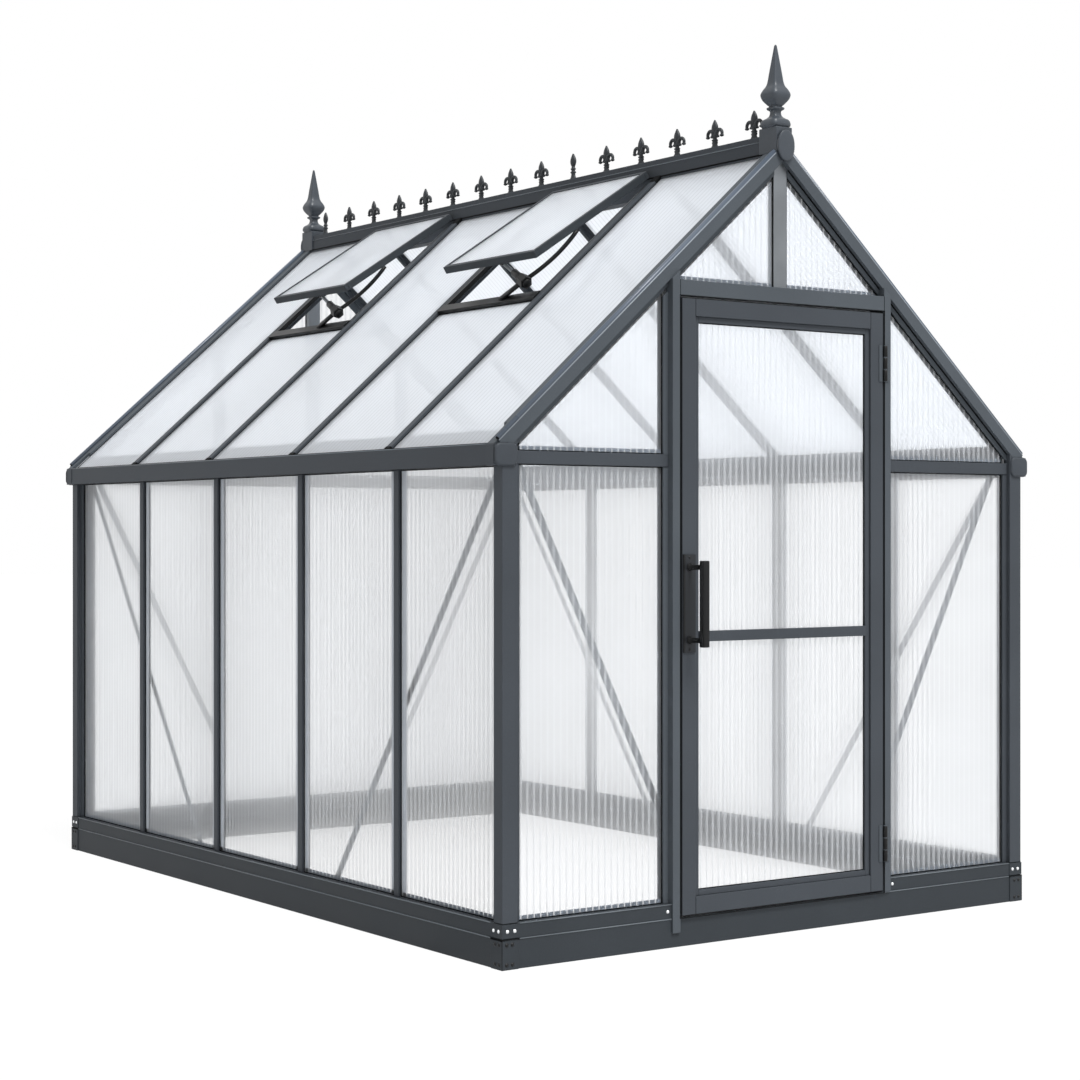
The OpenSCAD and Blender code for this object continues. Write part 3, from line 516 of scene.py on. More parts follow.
def addTube(bm, points, radii, material=0, sides=10, flat=1.0, side=None, smooth=True):
    # a round (or flattened) rod along a path; flat squeezes it along the given side
    points = [Vector(p) for p in points]
    if not isinstance(radii, (list, tuple)):
        radii = [radii] * len(points)
    rings = []
    normal = Vector(side).normalized() if side else None
    for i, point in enumerate(points):
        ahead = points[min(i + 1, len(points) - 1)] - points[max(i - 1, 0)]
        ahead.normalize()
        if normal is None:
            normal = ahead.orthogonal().normalized()
        normal = (normal - ahead * normal.dot(ahead)).normalized()
        other = ahead.cross(normal)
        rings.append([point + (normal * cos(t) * flat + other * sin(t)) * radii[i]
                      for t in turns(sides)])
    addLoft(bm, rings, material, smooth)


def roofBlock(bm, side, ends, a, b, top, under):
    # a bar along the slope between two ends, from a to b in y and from top to under in height
    addLoft(bm, [[roofPoint(side, s, y, out) for y, out in
                  ((a, top), (b, top), (b, under), (a, under))] for s in ends], smooth=False)


# gaskets: black rubber between each lip and its sheet
gasket = lengths(width=3.2, rise=1.6)


def bandAround(bm, corners, normal):
    # a mitred band just inside a polygon, standing a little above its plane
    count = len(corners)
    middle = sum(corners, Vector()) / count
    sides = []
    for i in range(count):
        side = normal.cross((corners[(i + 1) % count] - corners[i]).normalized())
        sides.append(-side if side.dot(middle - corners[i]) < 0 else side)
    inner = [corners[i] + (sides[i - 1] + sides[i])
             * (gasket["width"] / (1 + sides[i - 1].dot(sides[i]))) for i in range(count)]
    lift = normal * gasket["rise"]
    for i in range(count):
        j = (i + 1) % count
        a, b, c, d = corners[i], corners[j], inner[j], inner[i]
        for quad in ((a + lift, b + lift, c + lift, d + lift), (d, c, c + lift, d + lift),
                     (a, b, b + lift, a + lift)):
            bm.faces.new([bm.verts.new(p) for p in quad])


def rectangle(u0, v0, u1, v1):
    return [(u0, v0), (u1, v0), (u1, v1), (u0, v1)]


def bayOpenings():
    # where each sheet of a side begins and ends between the bars
    half, post = trim["barHead"] / 2, trim["postDepth"] + trim["lip"]
    edges = [frontY + post] + [y + turn * half for y in bayEdges for turn in (-1, 1)]
    edges.append(rearY - post)
    return list(zip(edges[::2], edges[1::2]))


def wallLights():
    # the clear opening of each sheet, as (corners, outward normal)
    plane = faceX - trim["paneDepth"]
    return [([Vector((side * plane, y, z)) for y, z in
              rectangle(y0, sillHigh.z, y1, gutterLow.z)], Vector((side, 0, 0)))
            for side in (-1, 1) for y0, y1 in bayOpenings()]


def gableLights():
    lights = []
    outer = faceX - trim["postWidth"] - trim["lip"]

    def underRoof(a, b, low):
        drop = trim["rafter"] + trim["lip"]
        return [(a, low), (b, low), (b, roofZ(b, drop)), (a, roofZ(a, drop))]

    for end, y in ((-1, frontY + trim["paneDepth"]), (1, rearY - trim["paneDepth"])):
        inner = jambSide + (trim["lip"] if end < 0 else 0)
        low = headerHigh.z if end < 0 else eaveHigh.z
        shapes = []
        for side in (-1, 1):
            a, b = side * outer, side * inner
            shapes += [rectangle(a, sillHigh.z, b, eaveLow.z), underRoof(a, b, eaveHigh.z),
                       underRoof(side * jambIn, side * trim["king"] / 2, low)]
        if end > 0:
            shapes.append(rectangle(-jambIn, sillHigh.z, jambIn, eaveLow.z))
        for shape in shapes:
            lights.append(([Vector((x, y, z)) for x, z in shape], Vector((0, end, 0))))
    return lights


ventBays = (1, 3)
roofLine = lengths(start=12, ventDrop=640, curb=36)


def roofLights():
    lights = []
    for side in (-1, 1):
        for k, (y0, y1) in enumerate(bayOpenings()):
            top = slopeLength
            if side < 0 and k in ventBays:
                top -= roofLine["ventDrop"] + roofLine["curb"]
            corners = [roofPoint(side, s, y, -trim["barProud"]) for y, s in
                       ((y0, roofLine["start"]), (y1, roofLine["start"]), (y1, top), (y0, top))]
            lights.append((corners, roofUp(side)))
    return lights


def doorLight():
    low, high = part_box("door_panes")
    step = trim["bead"]
    return [([Vector((x, low.y, z)) for x, z in
              rectangle(low.x + step, low.z + step, high.x - step, high.z - step)],
             Vector((0, -1, 0)))]


def glazingGaskets():
    for name, lights, body in (("wallGaskets", wallLights(), "frame"),
                               ("gableGaskets", gableLights(), "frame"),
                               ("roofGaskets", roofLights(), "frame"),
                               ("doorGasket", doorLight(), "door")):
        bm = bmesh.new()
        for corners, normal in lights:
            bandAround(bm, corners, normal)
        piece = buildMesh(name, bm, [gasketRubber], body)


glazingGaskets()
print("gaskets made")


# sheet ends: a tape closes each cell, so it shows as a row of dashes between the ribs
tape = lengths(height=15, gap=4, inset=1.2, thick=0.6, least=2)


def sheetEndTapes():
    bm = bmesh.new()
    step = sheet["ribPitch"]
    for corners, normal in wallLights() + gableLights():
        axis = 1 if abs(normal.x) > 0.5 else 0
        low = min(p.z for p in corners)
        foot = sorted(p[axis] for p in corners if p.z == low)
        near = corners[0] - normal * tape["inset"]
        far = near - normal * tape["thick"]
        for k in range(int(foot[0] // step), ceil(foot[1] / step)):
            a = max(k * step + tape["gap"] / 2, foot[0])
            b = min((k + 1) * step - tape["gap"] / 2, foot[1])
            if b - a >= tape["least"]:
                near[axis], far[axis], near.z, far.z = a, b, low, low + tape["height"]
                addBlock(bm, near, far)
    piece = buildMesh("sheetEndTapes", bm, [tapeCoat])


# flange faces: the inner wings of the glazing bars, painted pale for the light seen through the
# sheets, and the fine lines of the roof ones
flange = lengths(width=28, inset=1.2, thick=0.6, line=1.6, start=16, end=4)


def flangeFaces():
    bm = bmesh.new()
    lines = bmesh.new()
    half = trim["barHead"] / 2
    top = slopeLength - flange["end"]
    high = -trim["barProud"] - flange["inset"]
    for side in (-1, 1):
        x = side * (faceX - trim["paneDepth"] - flange["inset"])
        for k, y in enumerate(bayEdges):
            for turn in (-1, 1):
                addBlock(bm, (x, y + turn * half, sillHigh.z),
                         (x - side * flange["thick"], y + turn * (half + flange["width"]),
                          gutterLow.z))
                inVent = side < 0 and k + (turn > 0) in ventBays
                end = top - (roofLine["ventDrop"] + roofLine["curb"] if inVent else 0)
                for out in (5 * mm, 11 * mm, 15 * mm):
                    a = y + turn * (half + out)
                    roofBlock(lines, side, (flange["start"], end), a,
                              a + turn * flange["line"], high, high - flange["thick"])
    piece = buildMesh("wallBarFlanges", bm, [flangeCoat])
    piece = buildMesh("roofBarLines", lines, [flapCoat])


# bolts and corner plates; a head is its width and height in shares of its radius
bolts = lengths(bright=5.5, dark=6.2, sunk=0.4, plate=2, plateLength=58, fromDoor=14)
boltForm = ((1.0, 0.0), (1.0, 0.12), (0.82, 0.12), (0.82, 0.2), (0.66, 0.42), (0.36, 0.56))


def addBolt(bm, place, normal, radius, material=0, sides=14):
    # a low domed head on a thin washer
    turn = Vector(normal).to_track_quat("Z", "Y").to_matrix().to_4x4()
    matrix = Matrix.Translation(Vector(place)) @ turn
    rows = [[bm.verts.new(matrix @ Vector((cos(t) * wide * radius,
                                           sin(t) * wide * radius, high * radius)))
             for t in turns(sides)] for wide, high in boltForm]
    for lower, upper in zip(rows, rows[1:]):
        for k in range(sides):
            j = (k + 1) % sides
            face = bm.faces.new([lower[k], lower[j], upper[j], upper[k]])
            face.material_index = material
            face.smooth = True
    bm.faces.new(rows[-1]).material_index = material


def cornerBolts(bm, corner, outward, steps, lift, radius):
    # bolts on both faces of a corner, lifted off them
    x, y, z = corner
    sx, sy = outward
    for step in steps:
        addBolt(bm, (x + sx * lift, y - sy * step, z), (sx, 0, 0), radius)
        addBolt(bm, (x - sx * step, y + sy * lift, z), (0, sy, 0), radius)


def cornerPlates():
    # a folded plate joins the sills at each corner; its bolts are bright
    bm = bmesh.new()
    heads = bmesh.new()
    length, thick = bolts["plateLength"], bolts["plate"]
    z0, z1 = sillLow.z + 2 * mm, sillHigh.z - 2 * mm
    middle = (z0 + z1) / 2
    for sx in (-1, 1):
        x = sx * faceX
        for sy, y in wallEnds:
            addBlock(bm, (x, y + sy * thick, z0), (x + sx * thick, y - sy * length, z1))
            addBlock(bm, (x, y, z0), (x - sx * length, y + sy * thick, z1))
            cornerBolts(heads, (x, y, middle), (sx, sy), (17 * mm, 43 * mm), thick,
                        bolts["bright"])
        # one bolt at each sill end beside the door
        addBolt(heads, (sx * (jambSide + bolts["fromDoor"]), frontY, middle), (0, -1, 0),
                bolts["bright"])
    piece = buildMesh("sillPlates", bm, [railCoat])
    softenEdges(piece, 0.6 * mm)
    piece = buildMesh("sillBolts", heads, [boltHead])


def bracketBolts():
    bm = bmesh.new()
    low, high = baseLow, baseHigh
    for share in (0.17, 0.82):
        z = low.z + share * (high.z - low.z)
        for sx in (-1, 1):
            for sy, y in ((-1, low.y), (1, high.y)):
                cornerBolts(bm, (sx * high.x, y, z), (sx, sy), (17 * mm, 37 * mm),
                            -bolts["sunk"], bolts["dark"])
    piece = buildMesh("bracketBolts", bm, [darkBolt])


# beads and seams painted light as highlights, and black joints and painted shade strips along the
# long bars: first the radii, then their places
bar = lengths(bead=1.9, ridgeBead=1.8, lipBead=1.7, seam=2.6, corner=62, proud=0.4,
              seamIn=50.4, seamUp=30, ridgeDown=19, ridgeEnd=86, gutterEnd=50, ridgeJoint=52,
              joint=1.3, jointHigh=5, gapWide=18, gapHigh=0.6)


def lineRod(bm, a, b, radius):
    addTube(bm, [a, b], radius, sides=8)


def extrusionBeads():
    # small rounded beads along the top edges of the base rail and the sill, painted lighter as
    # highlight lines
    bm = bmesh.new()
    inner = bmesh.new()
    y0, y1 = frontY + bar["corner"], rearY - bar["corner"]
    reach = faceX - bar["corner"]
    for z, start in ((baseHigh.z - 1.5 * mm, 0), (sillHigh.z - 1.6 * mm, jambSide)):
        for side in (-1, 1):
            x, y = side * (faceX + bar["proud"]), frontY - bar["proud"]
            lineRod(bm, (x, y0, z), (x, y1, z), bar["bead"])
            lineRod(bm, (-side * start, y, z), (-side * reach, y, z), bar["bead"])
        y = rearY + bar["proud"]
        lineRod(bm, (-reach, y, z), (reach, y, z), bar["bead"])
    # indoors a seam painted bright as a highlight seen through the sheets runs where the sill
    # stands on the base, and along the eaves
    for side in (-1, 1):
        x = side * (faceX - bar["seamIn"])
        for z in (baseHigh.z, gutterLow.z + bar["seamUp"]):
            lineRod(inner, (x, y0, z), (x, y1, z), bar["seam"])
    y, z = rearY - bar["seamIn"], baseHigh.z
    lineRod(inner, (-reach, y, z), (reach, y, z), bar["seam"])
    # the ridge bar has a bead a third of the way down, and the gutter one along its lip; both are
    # painted highlights
    for side in (-1, 1):
        x, z = side * (ridgeHigh.x + 0.3 * mm), ridgeHigh.z - bar["ridgeDown"]
        lineRod(bm, (x, blockLow.y + bar["ridgeEnd"], z), (x, blockHigh.y - bar["ridgeEnd"], z),
                bar["ridgeBead"])
        x, z = side * (gutterReach - 1.2 * mm), eaveZ - 1.2 * mm
        lineRod(bm, (x, frontY + bar["gutterEnd"], z), (x, rearY - bar["gutterEnd"], z),
                bar["lipBead"])
    piece = buildMesh("extrusionBeads", bm, [beadCoat])
    piece = buildMesh("indoorSeams", inner, [flangeCoat])


def shadowJoints():
    # black strips: painted shade under the sill plates, under the ridge and under the gutters, and
    # a black line down each corner
    bm = bmesh.new()
    thin, wide, top = bar["joint"], bar["corner"], baseHigh.z
    for side in (-1, 1):
        x = side * baseHigh.x
        for end, y in ((-1, baseLow.y), (1, baseHigh.y)):
            for dx, dy, z in ((wide, thin, top - bar["jointHigh"]),
                              (thin, wide, top - bar["jointHigh"]), (thin, thin, 1 * mm)):
                addBlock(bm, (x, y, z), (x - side * dx, y - end * dy, top))
        a, b = (roofPoint(side, slopeLength - 3 * mm, y, -2 * mm) for y in
                (frontY + bar["ridgeJoint"], rearY - bar["ridgeJoint"]))
        lineRod(bm, a, b, bar["seam"])
        x, z = side * (gutterReach - 3 * mm), gutterLow.z
        addBlock(bm, (x, frontY + bar["gutterEnd"], z - bar["gapHigh"]),
                 (x - side * bar["gapWide"], rearY - bar["gutterEnd"], z))
    piece = buildMesh("shadowJoints", bm, [gasketRubber])


# grooves and feet of the rafters
groove = lengths(near=14, far=17, above=1, below=3.4, footOut=8, footIn=24, footUp=2.5,
                 footDeep=18, coverIn=10, coverStart=3, coverEnd=90, cover=9)


def rafterGrooves():
    # painted shade: a black strip in the groove under each rafter's face; and the foot that closes
    # it over the gutter
    bm = bmesh.new()
    feet = bmesh.new()
    high, low = trim["rafter"] - groove["above"], trim["rafter"] + groove["below"]
    out, inner, foot = faceX + groove["footOut"], faceX - groove["footIn"], eaveZ + groove["footUp"]
    outline = [(out, foot), (inner, foot), (inner, roofZ(inner, 1 * mm)),
               (out, roofZ(out, 1 * mm))]
    for side in (-1, 1):
        for end, y in wallEnds:
            for ends in ((faceX - trim["postWidth"], jambSide + 1 * mm), (jambIn, 30 * mm)):
                addLoft(bm, [[Vector((side * x, y - end * d, roofZ(x, n))) for d, n in
                              rectangle(groove["near"], high, groove["far"], low)]
                             for x in ends], smooth=False)
            addLoft(feet, [[Vector((side * x, y - end * d, z)) for x, z in outline]
                           for d in (0.2 * mm, groove["footDeep"])], smooth=False)
            # the cover that carries the rafter's top edge on over the gutter
            roofBlock(feet, side, (groove["coverStart"], groove["coverEnd"]),
                      y - end * groove["coverIn"], y - end * trim["postDepth"], 0,
                      -groove["cover"])
    piece = buildMesh("rafterGrooves", bm, [gasketRubber])
    piece = buildMesh("rafterFeet", feet, [upperCoat])


cornerPlates()
bracketBolts()
print("bolts made")


def arc(x, z, r, start, turn=90, count=6):
    # points on a circle, with the angles in degrees
    angles = [radians(start + turn * k / count) for k in range(count + 1)]
    return [(x + cos(a) * r, z + sin(a) * r) for a in angles]


def superRing(half, exponent, count, height):
    # a square with soft corners: the larger the exponent, the sharper they are
    ring = []
    for k in range(count):
        t = 2 * pi * (k + 0.5) / count
        c, s = cos(t), sin(t)
        r = half / (abs(c) ** exponent + abs(s) ** exponent) ** (1 / exponent)
        ring.append(Vector((c * r, s * r, height)))
    return ring


def smoothRows(form, steps):
    # Catmull-Rom between the given (size, height) pairs
    rows = []
    last = len(form) - 1
    for i in range(last):
        around = form[max(i - 1, 0)], form[i], form[i + 1], form[min(i + 2, last)]
        for k in range(steps):
            t = k / steps
            rows.append([0.5 * (2 * b + (c - a) * t + (2 * a - 5 * b + 4 * c - d) * t * t
                                + (3 * b - a - 3 * c + d) * t ** 3)
                         for a, b, c, d in zip(*around)])
    rows.append(list(form[-1]))
    return rows


# crest figures: cast fleurs-de-lis along the ridge; the stem is (height, half width, half
# depth) in millimetres, and figures longer than "curled" have two curling arms
crest = lengths(leafHalf=15, leafThick=8.5, curl=14.5, curlWire=7.4, bandHalf=17, curled=50,
                plainBand=8, leafFoot=44, leafTall=52)
crestStem = ((0, 27, 8.5), (3, 24, 8.5), (7, 16, 8), (12, 11.5, 7.6), (18, 9.4, 7),
             (28, 8.4, 6.6), (38, 8, 6.6), (50, 8, 6))


def crestFigures():
    bm = bmesh.new()
    across = {"side": (1, 0, 0)}
    for low, high in boxesOf("ridge_cresting"):
        foot = Vector((0, (low.y + high.y) / 2, low.z))
        curled = high.y - low.y > crest["curled"]

        def at(u, v, w=0.0):
            return foot + Vector((w, u, v))

        leaf = []
        for k in range(15):       # pointed oval leaf with a raised middle
            t = k / 14
            wide = max(sin(pi * t ** 0.85) ** 0.9, 0.04) * crest["leafHalf"]
            rise = sin(pi * min(max(t, 0.03), 0.97)) ** 0.7
            deep = crest["leafThick"] * (0.25 + 0.75 * rise)
            v = crest["leafFoot"] + crest["leafTall"] * t
            leaf.append([at(cos(a) * wide, v, sin(a) * deep) for a in turns(10)])
        addLoft(bm, leaf)
        addLoft(bm, [[at(cos(a) * half * mm, v * mm, sin(a) * deep * mm)
                      for a in turns(12)] for v, half, deep in crestStem])
        half = crest["bandHalf"] if curled else crest["plainBand"]
        for v, wide in ((40.5 * mm, half), (28 * mm, 9.5 * mm)):   # the band, and a ring under it
            addTube(bm, [at(u, v) for u in (-wide, 1.5 * mm - wide, wide - 1.5 * mm, wide)],
                    [3 * mm, 4.4 * mm, 4.4 * mm, 3 * mm], flat=1.7, **across)
        for side in (-1, 1) if curled else ():
            # an arm rises from the band, turns over and hangs down
            path = [at(side * u, v) for u, v in
                    arc(22.5 * mm, 47 * mm, crest["curl"], 200, -225, 14)]
            wires = [crest["curlWire"] * (1.0 - 0.35 * k / 14) for k in range(15)]
            addTube(bm, path, wires, sides=9, flat=1.1, **across)
            addTube(bm, [path[-1] - Vector((0, 0, h * mm)) for h in (-5, -3, 0, 3, 5)],
                    [r * mm for r in (1.6, 6.6, 8.6, 6.6, 1.6)], flat=0.85, **across)
            bud = at(side * 9 * mm, 20 * mm)
            addTube(bm, [bud + Vector((0, -side * 5 * mm, -3 * mm)), bud,
                         bud + Vector((0, side * 4 * mm, 2 * mm))],
                    [3 * mm, 5.4 * mm, 2.4 * mm], sides=8, **across)
    piece = buildMesh("crestFigures", bm, [crestCoat])
    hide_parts("ridge_cresting")


# finials: four-sided spires with a cushion foot, a neck, a collar and a bulb, as (half width
# in millimetres, share of the height)
spireForm = [(31, 0), (35.5, 0.025), (36, 0.055), (32, 0.095), (24, 0.115), (16.5, 0.14),
             (13.5, 0.175), (14, 0.205), (20.5, 0.225), (21, 0.245), (15.5, 0.26), (21, 0.285),
             (31, 0.335), (35.6, 0.38), (35.4, 0.415), (30, 0.46), (23.5, 0.5), (19.5, 0.55),
             (15.5, 0.66), (11, 0.78), (6.5, 0.9), (3.6, 0.975), (2.6, 0.99), (0.6, 1.0)]
spire = {"wider": 1.07, "least": 0.3, "squareness": 6.5, "points": 40, "steps": 4}


def finialSpires():
    bm = bmesh.new()
    for low, high in boxesOf("finials"):
        foot = Vector(((low.x + high.x) / 2, (low.y + high.y) / 2, 0))
        addLoft(bm, [[p + foot for p in
                      superRing(max(half, spire["least"]) * mm * spire["wider"],
                                spire["squareness"], spire["points"],
                                low.z + share * (high.z - low.z))]
                     for half, share in smoothRows(spireForm, spire["steps"])])
    piece = buildMesh("finialSpires", bm, [castCoat])
    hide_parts("finials")


# gable shields: long ovals that stand off the finial block on a dark step; the crown is
# (share of the size, millimetres above its edge)
shield = lengths(half=34, step=3, crown=1.6)
shieldCrown = ((1.0, -2.5), (0.985, -0.8), (0.95, 0), (0.75, 0.7), (0.45, 1.2), (0.15, 1.4))


def gableShields():
    bm = bmesh.new()
    for low, high in boxesOf("gable_bosses"):
        middle = (low + high) / 2
        front = -1 if middle.y < middleY else 1
        wall = high.y if front < 0 else low.y
        tall = (high.z - low.z) / 2

        def oval(scale, out):
            shrunk = tall * (1 - (1 - scale) * shield["half"] / tall)
            return [Vector((cos(t) * shield["half"] * scale, wall + front * out,
                            middle.z + copysign(abs(sin(t)) ** 0.9, sin(t))
                            * shrunk)) for t in turns(48)]

        crown = high.y - low.y - shield["crown"]
        addLoft(bm, [oval(0.9, 0), oval(0.9, shield["step"]), oval(1.0, shield["step"])]
                + [oval(scale, crown + rise * mm) for scale, rise in shieldCrown])
    piece = buildMesh("gableShields", bm, [castCoat])
    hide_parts("gable_bosses")


# gutter caps: a rounded end with a sleeve, a folded sheet that wraps the gutter
cap = lengths(corner=19, edge=7, sleeve=50, seam=6, back=8, step=1.2, fold=7, top=24,
              under=42, thick=0.8)


def roundedOutline(x0, z0, x1, z1, r):
    return (arc(x1 - r, z1 - r, r, 0) + arc(x0 + r, z1 - r, r, 90)
            + arc(x0 + r, z0 + r, r, 180) + arc(x1 - r, z0 + r, r, 270))


def gutterCaps():
    bm = bmesh.new()
    for low, high in boxesOf("gutter_end_caps"):
        side = 1 if low.x > 0 else -1
        end = 1 if low.y > middleY else -1
        face = high.y if end > 0 else low.y         # outermost plane of the cap
        inner, outer = sorted((abs(low.x), abs(high.x)))

        def ring(inset, y):
            return [Vector((side * x, y, z)) for x, z in
                    roundedOutline(inner + inset, low.z + inset, outer - inset, high.z - inset,
                                   max(cap["corner"] - inset, 1 * mm))]

        back, edge = face - end * cap["back"], cap["edge"]
        addLoft(bm, [ring(0, back)] + [ring(edge - u, face - end * (edge - v))
                                       for u, v in arc(0, 0, edge, 0, count=4)])
        # the sleeve lies a step inside the cap
        x1, z0, z1, r = outer - cap["step"], low.z + cap["step"], high.z - 0.4 * mm, cap["fold"]
        path = [(x1 - cap["top"], z1), *arc(x1 - r, z1 - r, r, 90, -90),
                *arc(x1 - r, z0 + r, r, 0, -90), (x1 - cap["under"], z0)]
        inside = []
        for i, (x, z) in enumerate(path):
            before, after = path[max(i - 1, 0)], path[min(i + 1, len(path) - 1)]
            dx, dz = after[0] - before[0], after[1] - before[1]
            share = cap["thick"] / hypot(dx, dz)
            inside.append((x + dz * share, z - dx * share))
        near, far = back - end * cap["seam"], back - end * cap["sleeve"]
        addLoft(bm, [[Vector((side * x, y, z)) for x, z in path + inside[::-1]]
                     for y in (near, far)], smooth=False)
        addLoft(bm, [ring(2 * mm, back), ring(2 * mm, near)], material=1, smooth=False)
    piece = buildMesh("gutterCaps", bm, [wallCoat, gasketRubber])
    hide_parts("gutter_end_caps")


# rafter tubes: a rounded nose along each roof edge, its coat tinted bluish and lighter as a painted
# sky reflection, and its open foot painted black as the shade inside it
tube = lengths(radius=9.5, inset=10.5, rise=3, foot=20, end=1.2, lip=2, lipDown=6)


def rafterTubes():
    bm = bmesh.new()
    ends = bmesh.new()
    stop = slopeLength - (blockHigh.x - ridgeHalf) / cos(pitch)
    r = tube["radius"]
    for side in (-1, 1):
        style = {"sides": 20, "flat": 0.8, "side": roofUp(side)}
        for end, y in wallEnds:
            back, foot, top = (roofPoint(side, s, y - end * tube["inset"], tube["rise"])
                               for s in (tube["foot"] - tube["end"], tube["foot"], stop))
            addTube(bm, [foot, top], r, **style)
            # a thin lip beside the tube on the gable side is painted bright as a highlight
            addTube(bm, [p + Vector((0, end * r, -tube["lipDown"])) for p in (foot, top)],
                    tube["lip"], material=1, sides=8)
            # the open foot is painted black for the shade inside the tube
            addTube(ends, [foot, back], [r * 0.8, r * 0.74], **style)
    piece = buildMesh("rafterTubes", bm, [tubeCoat, edgeCoat])
    piece = buildMesh("rafterTubeEnds", ends, [gasketRubber])


# roof bar feet: short black plugs at the gutter and under the ridge
plug = lengths(wider=0.5, start=2, end=15, ridge=34, ridgeEnd=1)
plugForm = ((-1, 0, -9), (1, 0, -9), (1, 0, -0.5), (1, -2, 1.2), (-1, 2, 1.2), (-1, 0, -0.5))


def roofBarEnds():
    bm = bmesh.new()
    half = trim["barHead"] / 2 + plug["wider"]
    for side in (-1, 1):
        for y in bayEdges:
            for ends in ((plug["start"], plug["end"]),
                         (slopeLength - plug["ridge"], slopeLength - plug["ridgeEnd"])):
                addLoft(bm, [[roofPoint(side, s, y + share * half + u * mm, n * mm)
                              for share, u, n in plugForm] for s in ends], smooth=False)
    piece = buildMesh("roofBarEnds", bm, [gasketRubber])


# automatic openers: a wax cylinder with its knuckle, two arms and a bent link
opener = lengths(cylinder=14, sleeve=10, arm=12, link=7.5, knuckle=25, pin=7, rod=6, flap=566,
                 hingeIn=8, flapUp=4, bend=26)
ventOpen = radians(8.3)


def onFlap(middle, d, y, out=0.0):
    # a point d down the open flap from its hinge
    c, s = cos(ventOpen), sin(ventOpen)
    return roofPoint(-1, slopeLength - opener["hingeIn"] - d * c + out * s, middle + y,
                     opener["flapUp"] + d * s + out * c)


def crossPin(bm, place, half, radius, **style):
    across = Vector((0, half, 0))
    addTube(bm, [place - across, place + across], radius, **style)


def ventOpeners():
    bm = bmesh.new()
    curbTop = slopeLength - roofLine["ventDrop"]
    up = roofUp(-1)
    for start, end in boxesOf("vent_curbs"):
        middle = (start.y + end.y) / 2
        low = roofPoint(-1, curbTop - 16 * mm, middle - 90 * mm, 7 * mm)
        knuckle = roofPoint(-1, curbTop + 18 * mm, middle - 215 * mm, 40 * mm)
        high = onFlap(middle, opener["flap"] - 8 * mm, -70 * mm, -3 * mm)
        side = onFlap(middle, opener["flap"] - 200 * mm, 4 * mm - ventHalf, -3 * mm)
        # lower arm with its foot on the curb
        addTube(bm, [low, low.lerp(knuckle, 0.5), knuckle], opener["arm"], sides=12, flat=0.7,
                side=up)
        crossPin(bm, low, 14 * mm, opener["pin"], flat=0.6, side=up)
        # cylinder: black barrel, bright sleeve and rod
        a, b, c, d = (knuckle.lerp(high, share) for share in (0.02, 0.48, 0.5, 0.93))
        r, thin, sleeve = opener["cylinder"], opener["cylinder"] * 0.8, opener["sleeve"] * 0.7
        addTube(bm, [a, a.lerp(b, 0.04), a.lerp(b, 0.96), b], [thin, r, r, thin], sides=16)
        addTube(bm, [b, c, c, d], [thin, thin, sleeve, sleeve], material=1, sides=14)
        addTube(bm, [d, high], opener["rod"])
        crossPin(bm, high, 12 * mm, opener["pin"], flat=0.7, side=up)
        # bent link to the side bar of the flap
        mid = knuckle.lerp(side, 0.55) - up * opener["bend"]
        addTube(bm, [knuckle.lerp(mid, k / 12).lerp(mid.lerp(side, k / 12), k / 12)
                     for k in range(13)], opener["link"])
        # knuckle: a hexagonal body with a collar and a hub
        axis = (high - knuckle).normalized() * opener["knuckle"]
        for start, end, wide, sides in ((-0.95, 0.75, 0.9, 6), (-1.25, -0.95, 0.6, 12),
                                        (0.75, 1.05, 0.72, 12)):
            addTube(bm, [knuckle + axis * s for s in (start, start + 0.12, end - 0.12, end)],
                    [opener["knuckle"] * wide * share for share in (0.88, 1, 1, 0.88)],
                    sides=sides, smooth=sides > 6)
        crossPin(bm, knuckle, 15 * mm, opener["rod"], sides=12)
    piece = buildMesh("ventOpeners", bm, [blackCoat, openerSleeve])
    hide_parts("vent_openers")


# door handle: a square bar with soft edges on two posts, and a plate with its screws
handle = lengths(edge=3, screw=5, postIn=20, fold=7, foldOut=0.4)


def doorHandle():
    low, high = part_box("door_handle_grip")
    plateLow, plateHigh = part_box("door_handle_plate")
    bm = bmesh.new()
    x, half = (low.x + high.x) / 2, (high.x - low.x) / 2
    y, rim = low.y + half, handle["edge"]
    rings = [(half - rim + v, low.z + rim - u) for u, v in arc(0, 0, rim, 0, count=3)]
    rings += [(r, low.z + high.z - z) for r, z in rings[::-1]]
    addLoft(bm, [[p + Vector((x, y, 0)) for p in superRing(r, 7, 28, z)] for r, z in rings])
    post = ((plateLow.y, 12), (plateLow.y - 3 * mm, 12), (plateLow.y - 5 * mm, 8),
            (y + half * 0.8, 8), (y + half * 0.5, 9.5))
    for z in (low.z + handle["postIn"], high.z - handle["postIn"]):
        addTube(bm, [(x, p, z) for p, r in post], [r * mm for p, r in post], sides=18)
    piece = buildMesh("doorGrip", bm, [blackCoat], "door")
    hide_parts("door_handle_grip")
    bm = bmesh.new()
    addBlock(bm, plateLow, plateHigh)
    addBlock(bm, (plateLow.x, plateLow.y - handle["foldOut"], plateLow.z),
             (plateLow.x + handle["fold"], plateHigh.y, plateHigh.z), 1)
    for z in (plateLow.z + 9 * mm, plateHigh.z - 9 * mm):
        addBolt(bm, (x, plateLow.y + 0.8 * mm, z), (0, -1, 0), handle["screw"], 1)
    piece = buildMesh("doorPlate", bm, [plateCoat, darkBolt], "door")
    softenEdges(piece, 1.4 * mm)
    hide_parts("door_handle_plate")


hinge = lengths(axleX=429.5, axleY=-1521, radius=7.6, groove=1.6, apart=0.8)


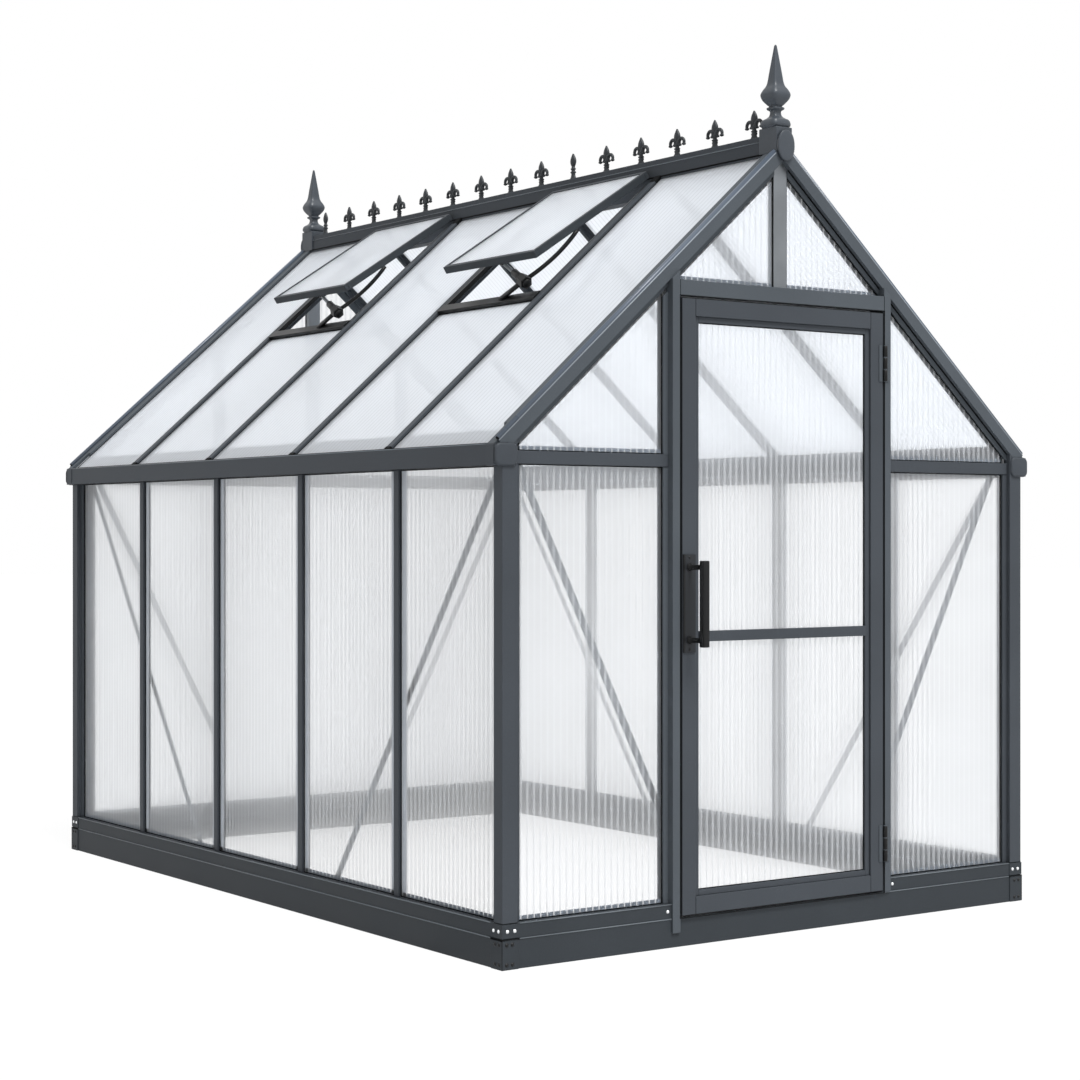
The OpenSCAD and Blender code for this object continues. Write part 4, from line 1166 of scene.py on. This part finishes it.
def doorHinges():
    # black barrels over the knuckles, each with two rings where its leaves meet
    bm = bmesh.new()
    r, groove = hinge["radius"], hinge["groove"]
    for low, high in boxesOf("frame_hinge_leaves"):
        third = (high.z - low.z) / 3
        for k in range(3):
            z0 = low.z + k * third + hinge["apart"]
            z1 = z0 + third - 2 * hinge["apart"]
            addTube(bm, [(hinge["axleX"], hinge["axleY"], z) for z in
                         (z0, z0 + groove, z1 - groove, z1)],
                    [r * 0.8, r, r, r * 0.8], sides=20)
    piece = buildMesh("doorHinges", bm, [blackCoat])


# joint lines: narrow black shadow gaps where bars meet
joint = lengths(width=1.8, rise=0.25, seal=2.6, leaf=2, deep=1.5, beadDown=8, beadLine=0.8)


def frameRound(bm, x, z0, z1, y, wide):
    # a flat black line round a rectangle: outside it where wide is positive, else inside
    for a, b in (((-x - wide, z0 - wide), (-x, z1 + wide)), ((x, z0 - wide), (x + wide, z1 + wide)),
                 ((-x, z1), (x, z1 + wide)), ((-x, z0 - wide), (x, z0))):
        addBlock(bm, (a[0], y - joint["rise"], a[1]), (b[0], y + joint["deep"], b[1]))


def jointLines():
    bm = bmesh.new()
    rise, half = joint["rise"], joint["width"] / 2
    y = jambLow.y
    frameRound(bm, jambIn, baseHigh.z, headerLow.z, y, joint["seal"])
    for side in (-1, 1):
        x = side * jambIn       # the header sits between the two jambs
        addBlock(bm, (x - half, y - rise, headerLow.z), (x + half, y + 1 * mm, headerHigh.z))
        x = side * faceX        # the posts stand on the sills
        for end, wall in wallEnds:
            addBlock(bm, (x + side * rise, wall + end * rise, sillHigh.z - half),
                     (x - side * trim["postWidth"], wall - end * trim["postDepth"],
                      sillHigh.z + half))
    piece = buildMesh("jointLines", bm, [gasketRubber])
    # corner joints of the door's leaf, and the step between its rails and beads
    bm = bmesh.new()
    low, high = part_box("door_rails")
    face, bead, thin = low.y, low.y + joint["beadDown"], joint["beadLine"]
    z0, z1 = low.z + trim["stile"], high.z - trim["stile"]
    for x in (-high.x, high.x):
        for start, end in ((low.z, z0), (z1, high.z)):
            addBlock(bm, (x - half * 0.6, face - rise, start), (x + half * 0.6, face + 1 * mm, end))
        addBlock(bm, (x - thin, bead - rise, z0), (x + thin, bead, z1))
    for z in (z0, z1):
        addBlock(bm, (-high.x, bead - rise, z - thin), (high.x, bead, z + thin))
    leafLow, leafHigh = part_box("door_stiles")
    frameRound(bm, leafHigh.x, leafLow.z, leafHigh.z, face, -joint["leaf"])
    piece = buildMesh("doorJoints", bm, [gasketRubber], "door")


def doorBeads():
    # glazing beads close the leaf at head and foot, level with those on the stiles
    bm = bmesh.new()
    low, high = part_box("door_panes")
    face, wide = low.y - joint["beadDown"], trim["bead"]
    for z in (high.z - wide, low.z):
        addBlock(bm, (low.x + wide, face, z), (high.x - wide, low.y - 0.2 * mm, z + wide))
    piece = buildMesh("doorBeads", bm, [wallCoat], "door")
    softenEdges(piece, 1.2 * mm)


for build in (crestFigures, finialSpires, gableShields, gutterCaps, rafterTubes, roofBarEnds,
              ventOpeners, doorHandle, doorHinges, jointLines, doorBeads, sheetEndTapes,
              flangeFaces, extrusionBeads, shadowJoints, rafterGrooves):
    build()
print("castings, caps, openers and handle made")


# finishes of the construction pieces, with the width of their soft edges in millimetres
finishes = (
    (wallCoat, 1.8, "corner_posts left_wall_bars right_wall_bars left_roof_bars"
                    " right_roof_bars rear_gable_bars gable_eave_rails door_stiles door_rails"),
    # painted light: the higher bars take the lighter copy of the frame coat
    (upperCoat, 1.8, "front_rafters rear_rafters door_jambs door_header frame_hinge_leaves"
                     " door_hinge_leaves"),
    (flapCoat, 1.4, "vent_flap_cross_bars vent_flap_side_bars"),
    (eaveCoat, 1.6, "gutter_left gutter_right ridge_beam"),
    (railCoat, 2, "base_side_rails base_end_rails base_corner_brackets side_sills gable_sills"),
    (castCoat, 2.2, "finial_blocks"),
    (blackCoat, 1.2, "vent_curbs"),
    (millBar, 1.2, "king_bars wall_braces gable_braces"),
)
for coat, edge, names in finishes:
    for name in names.split():
        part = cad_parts[name]
        part.data.materials.clear()
        part.data.materials.append(coat)
        softenEdges(part, edge * mm)
print("finishes set")
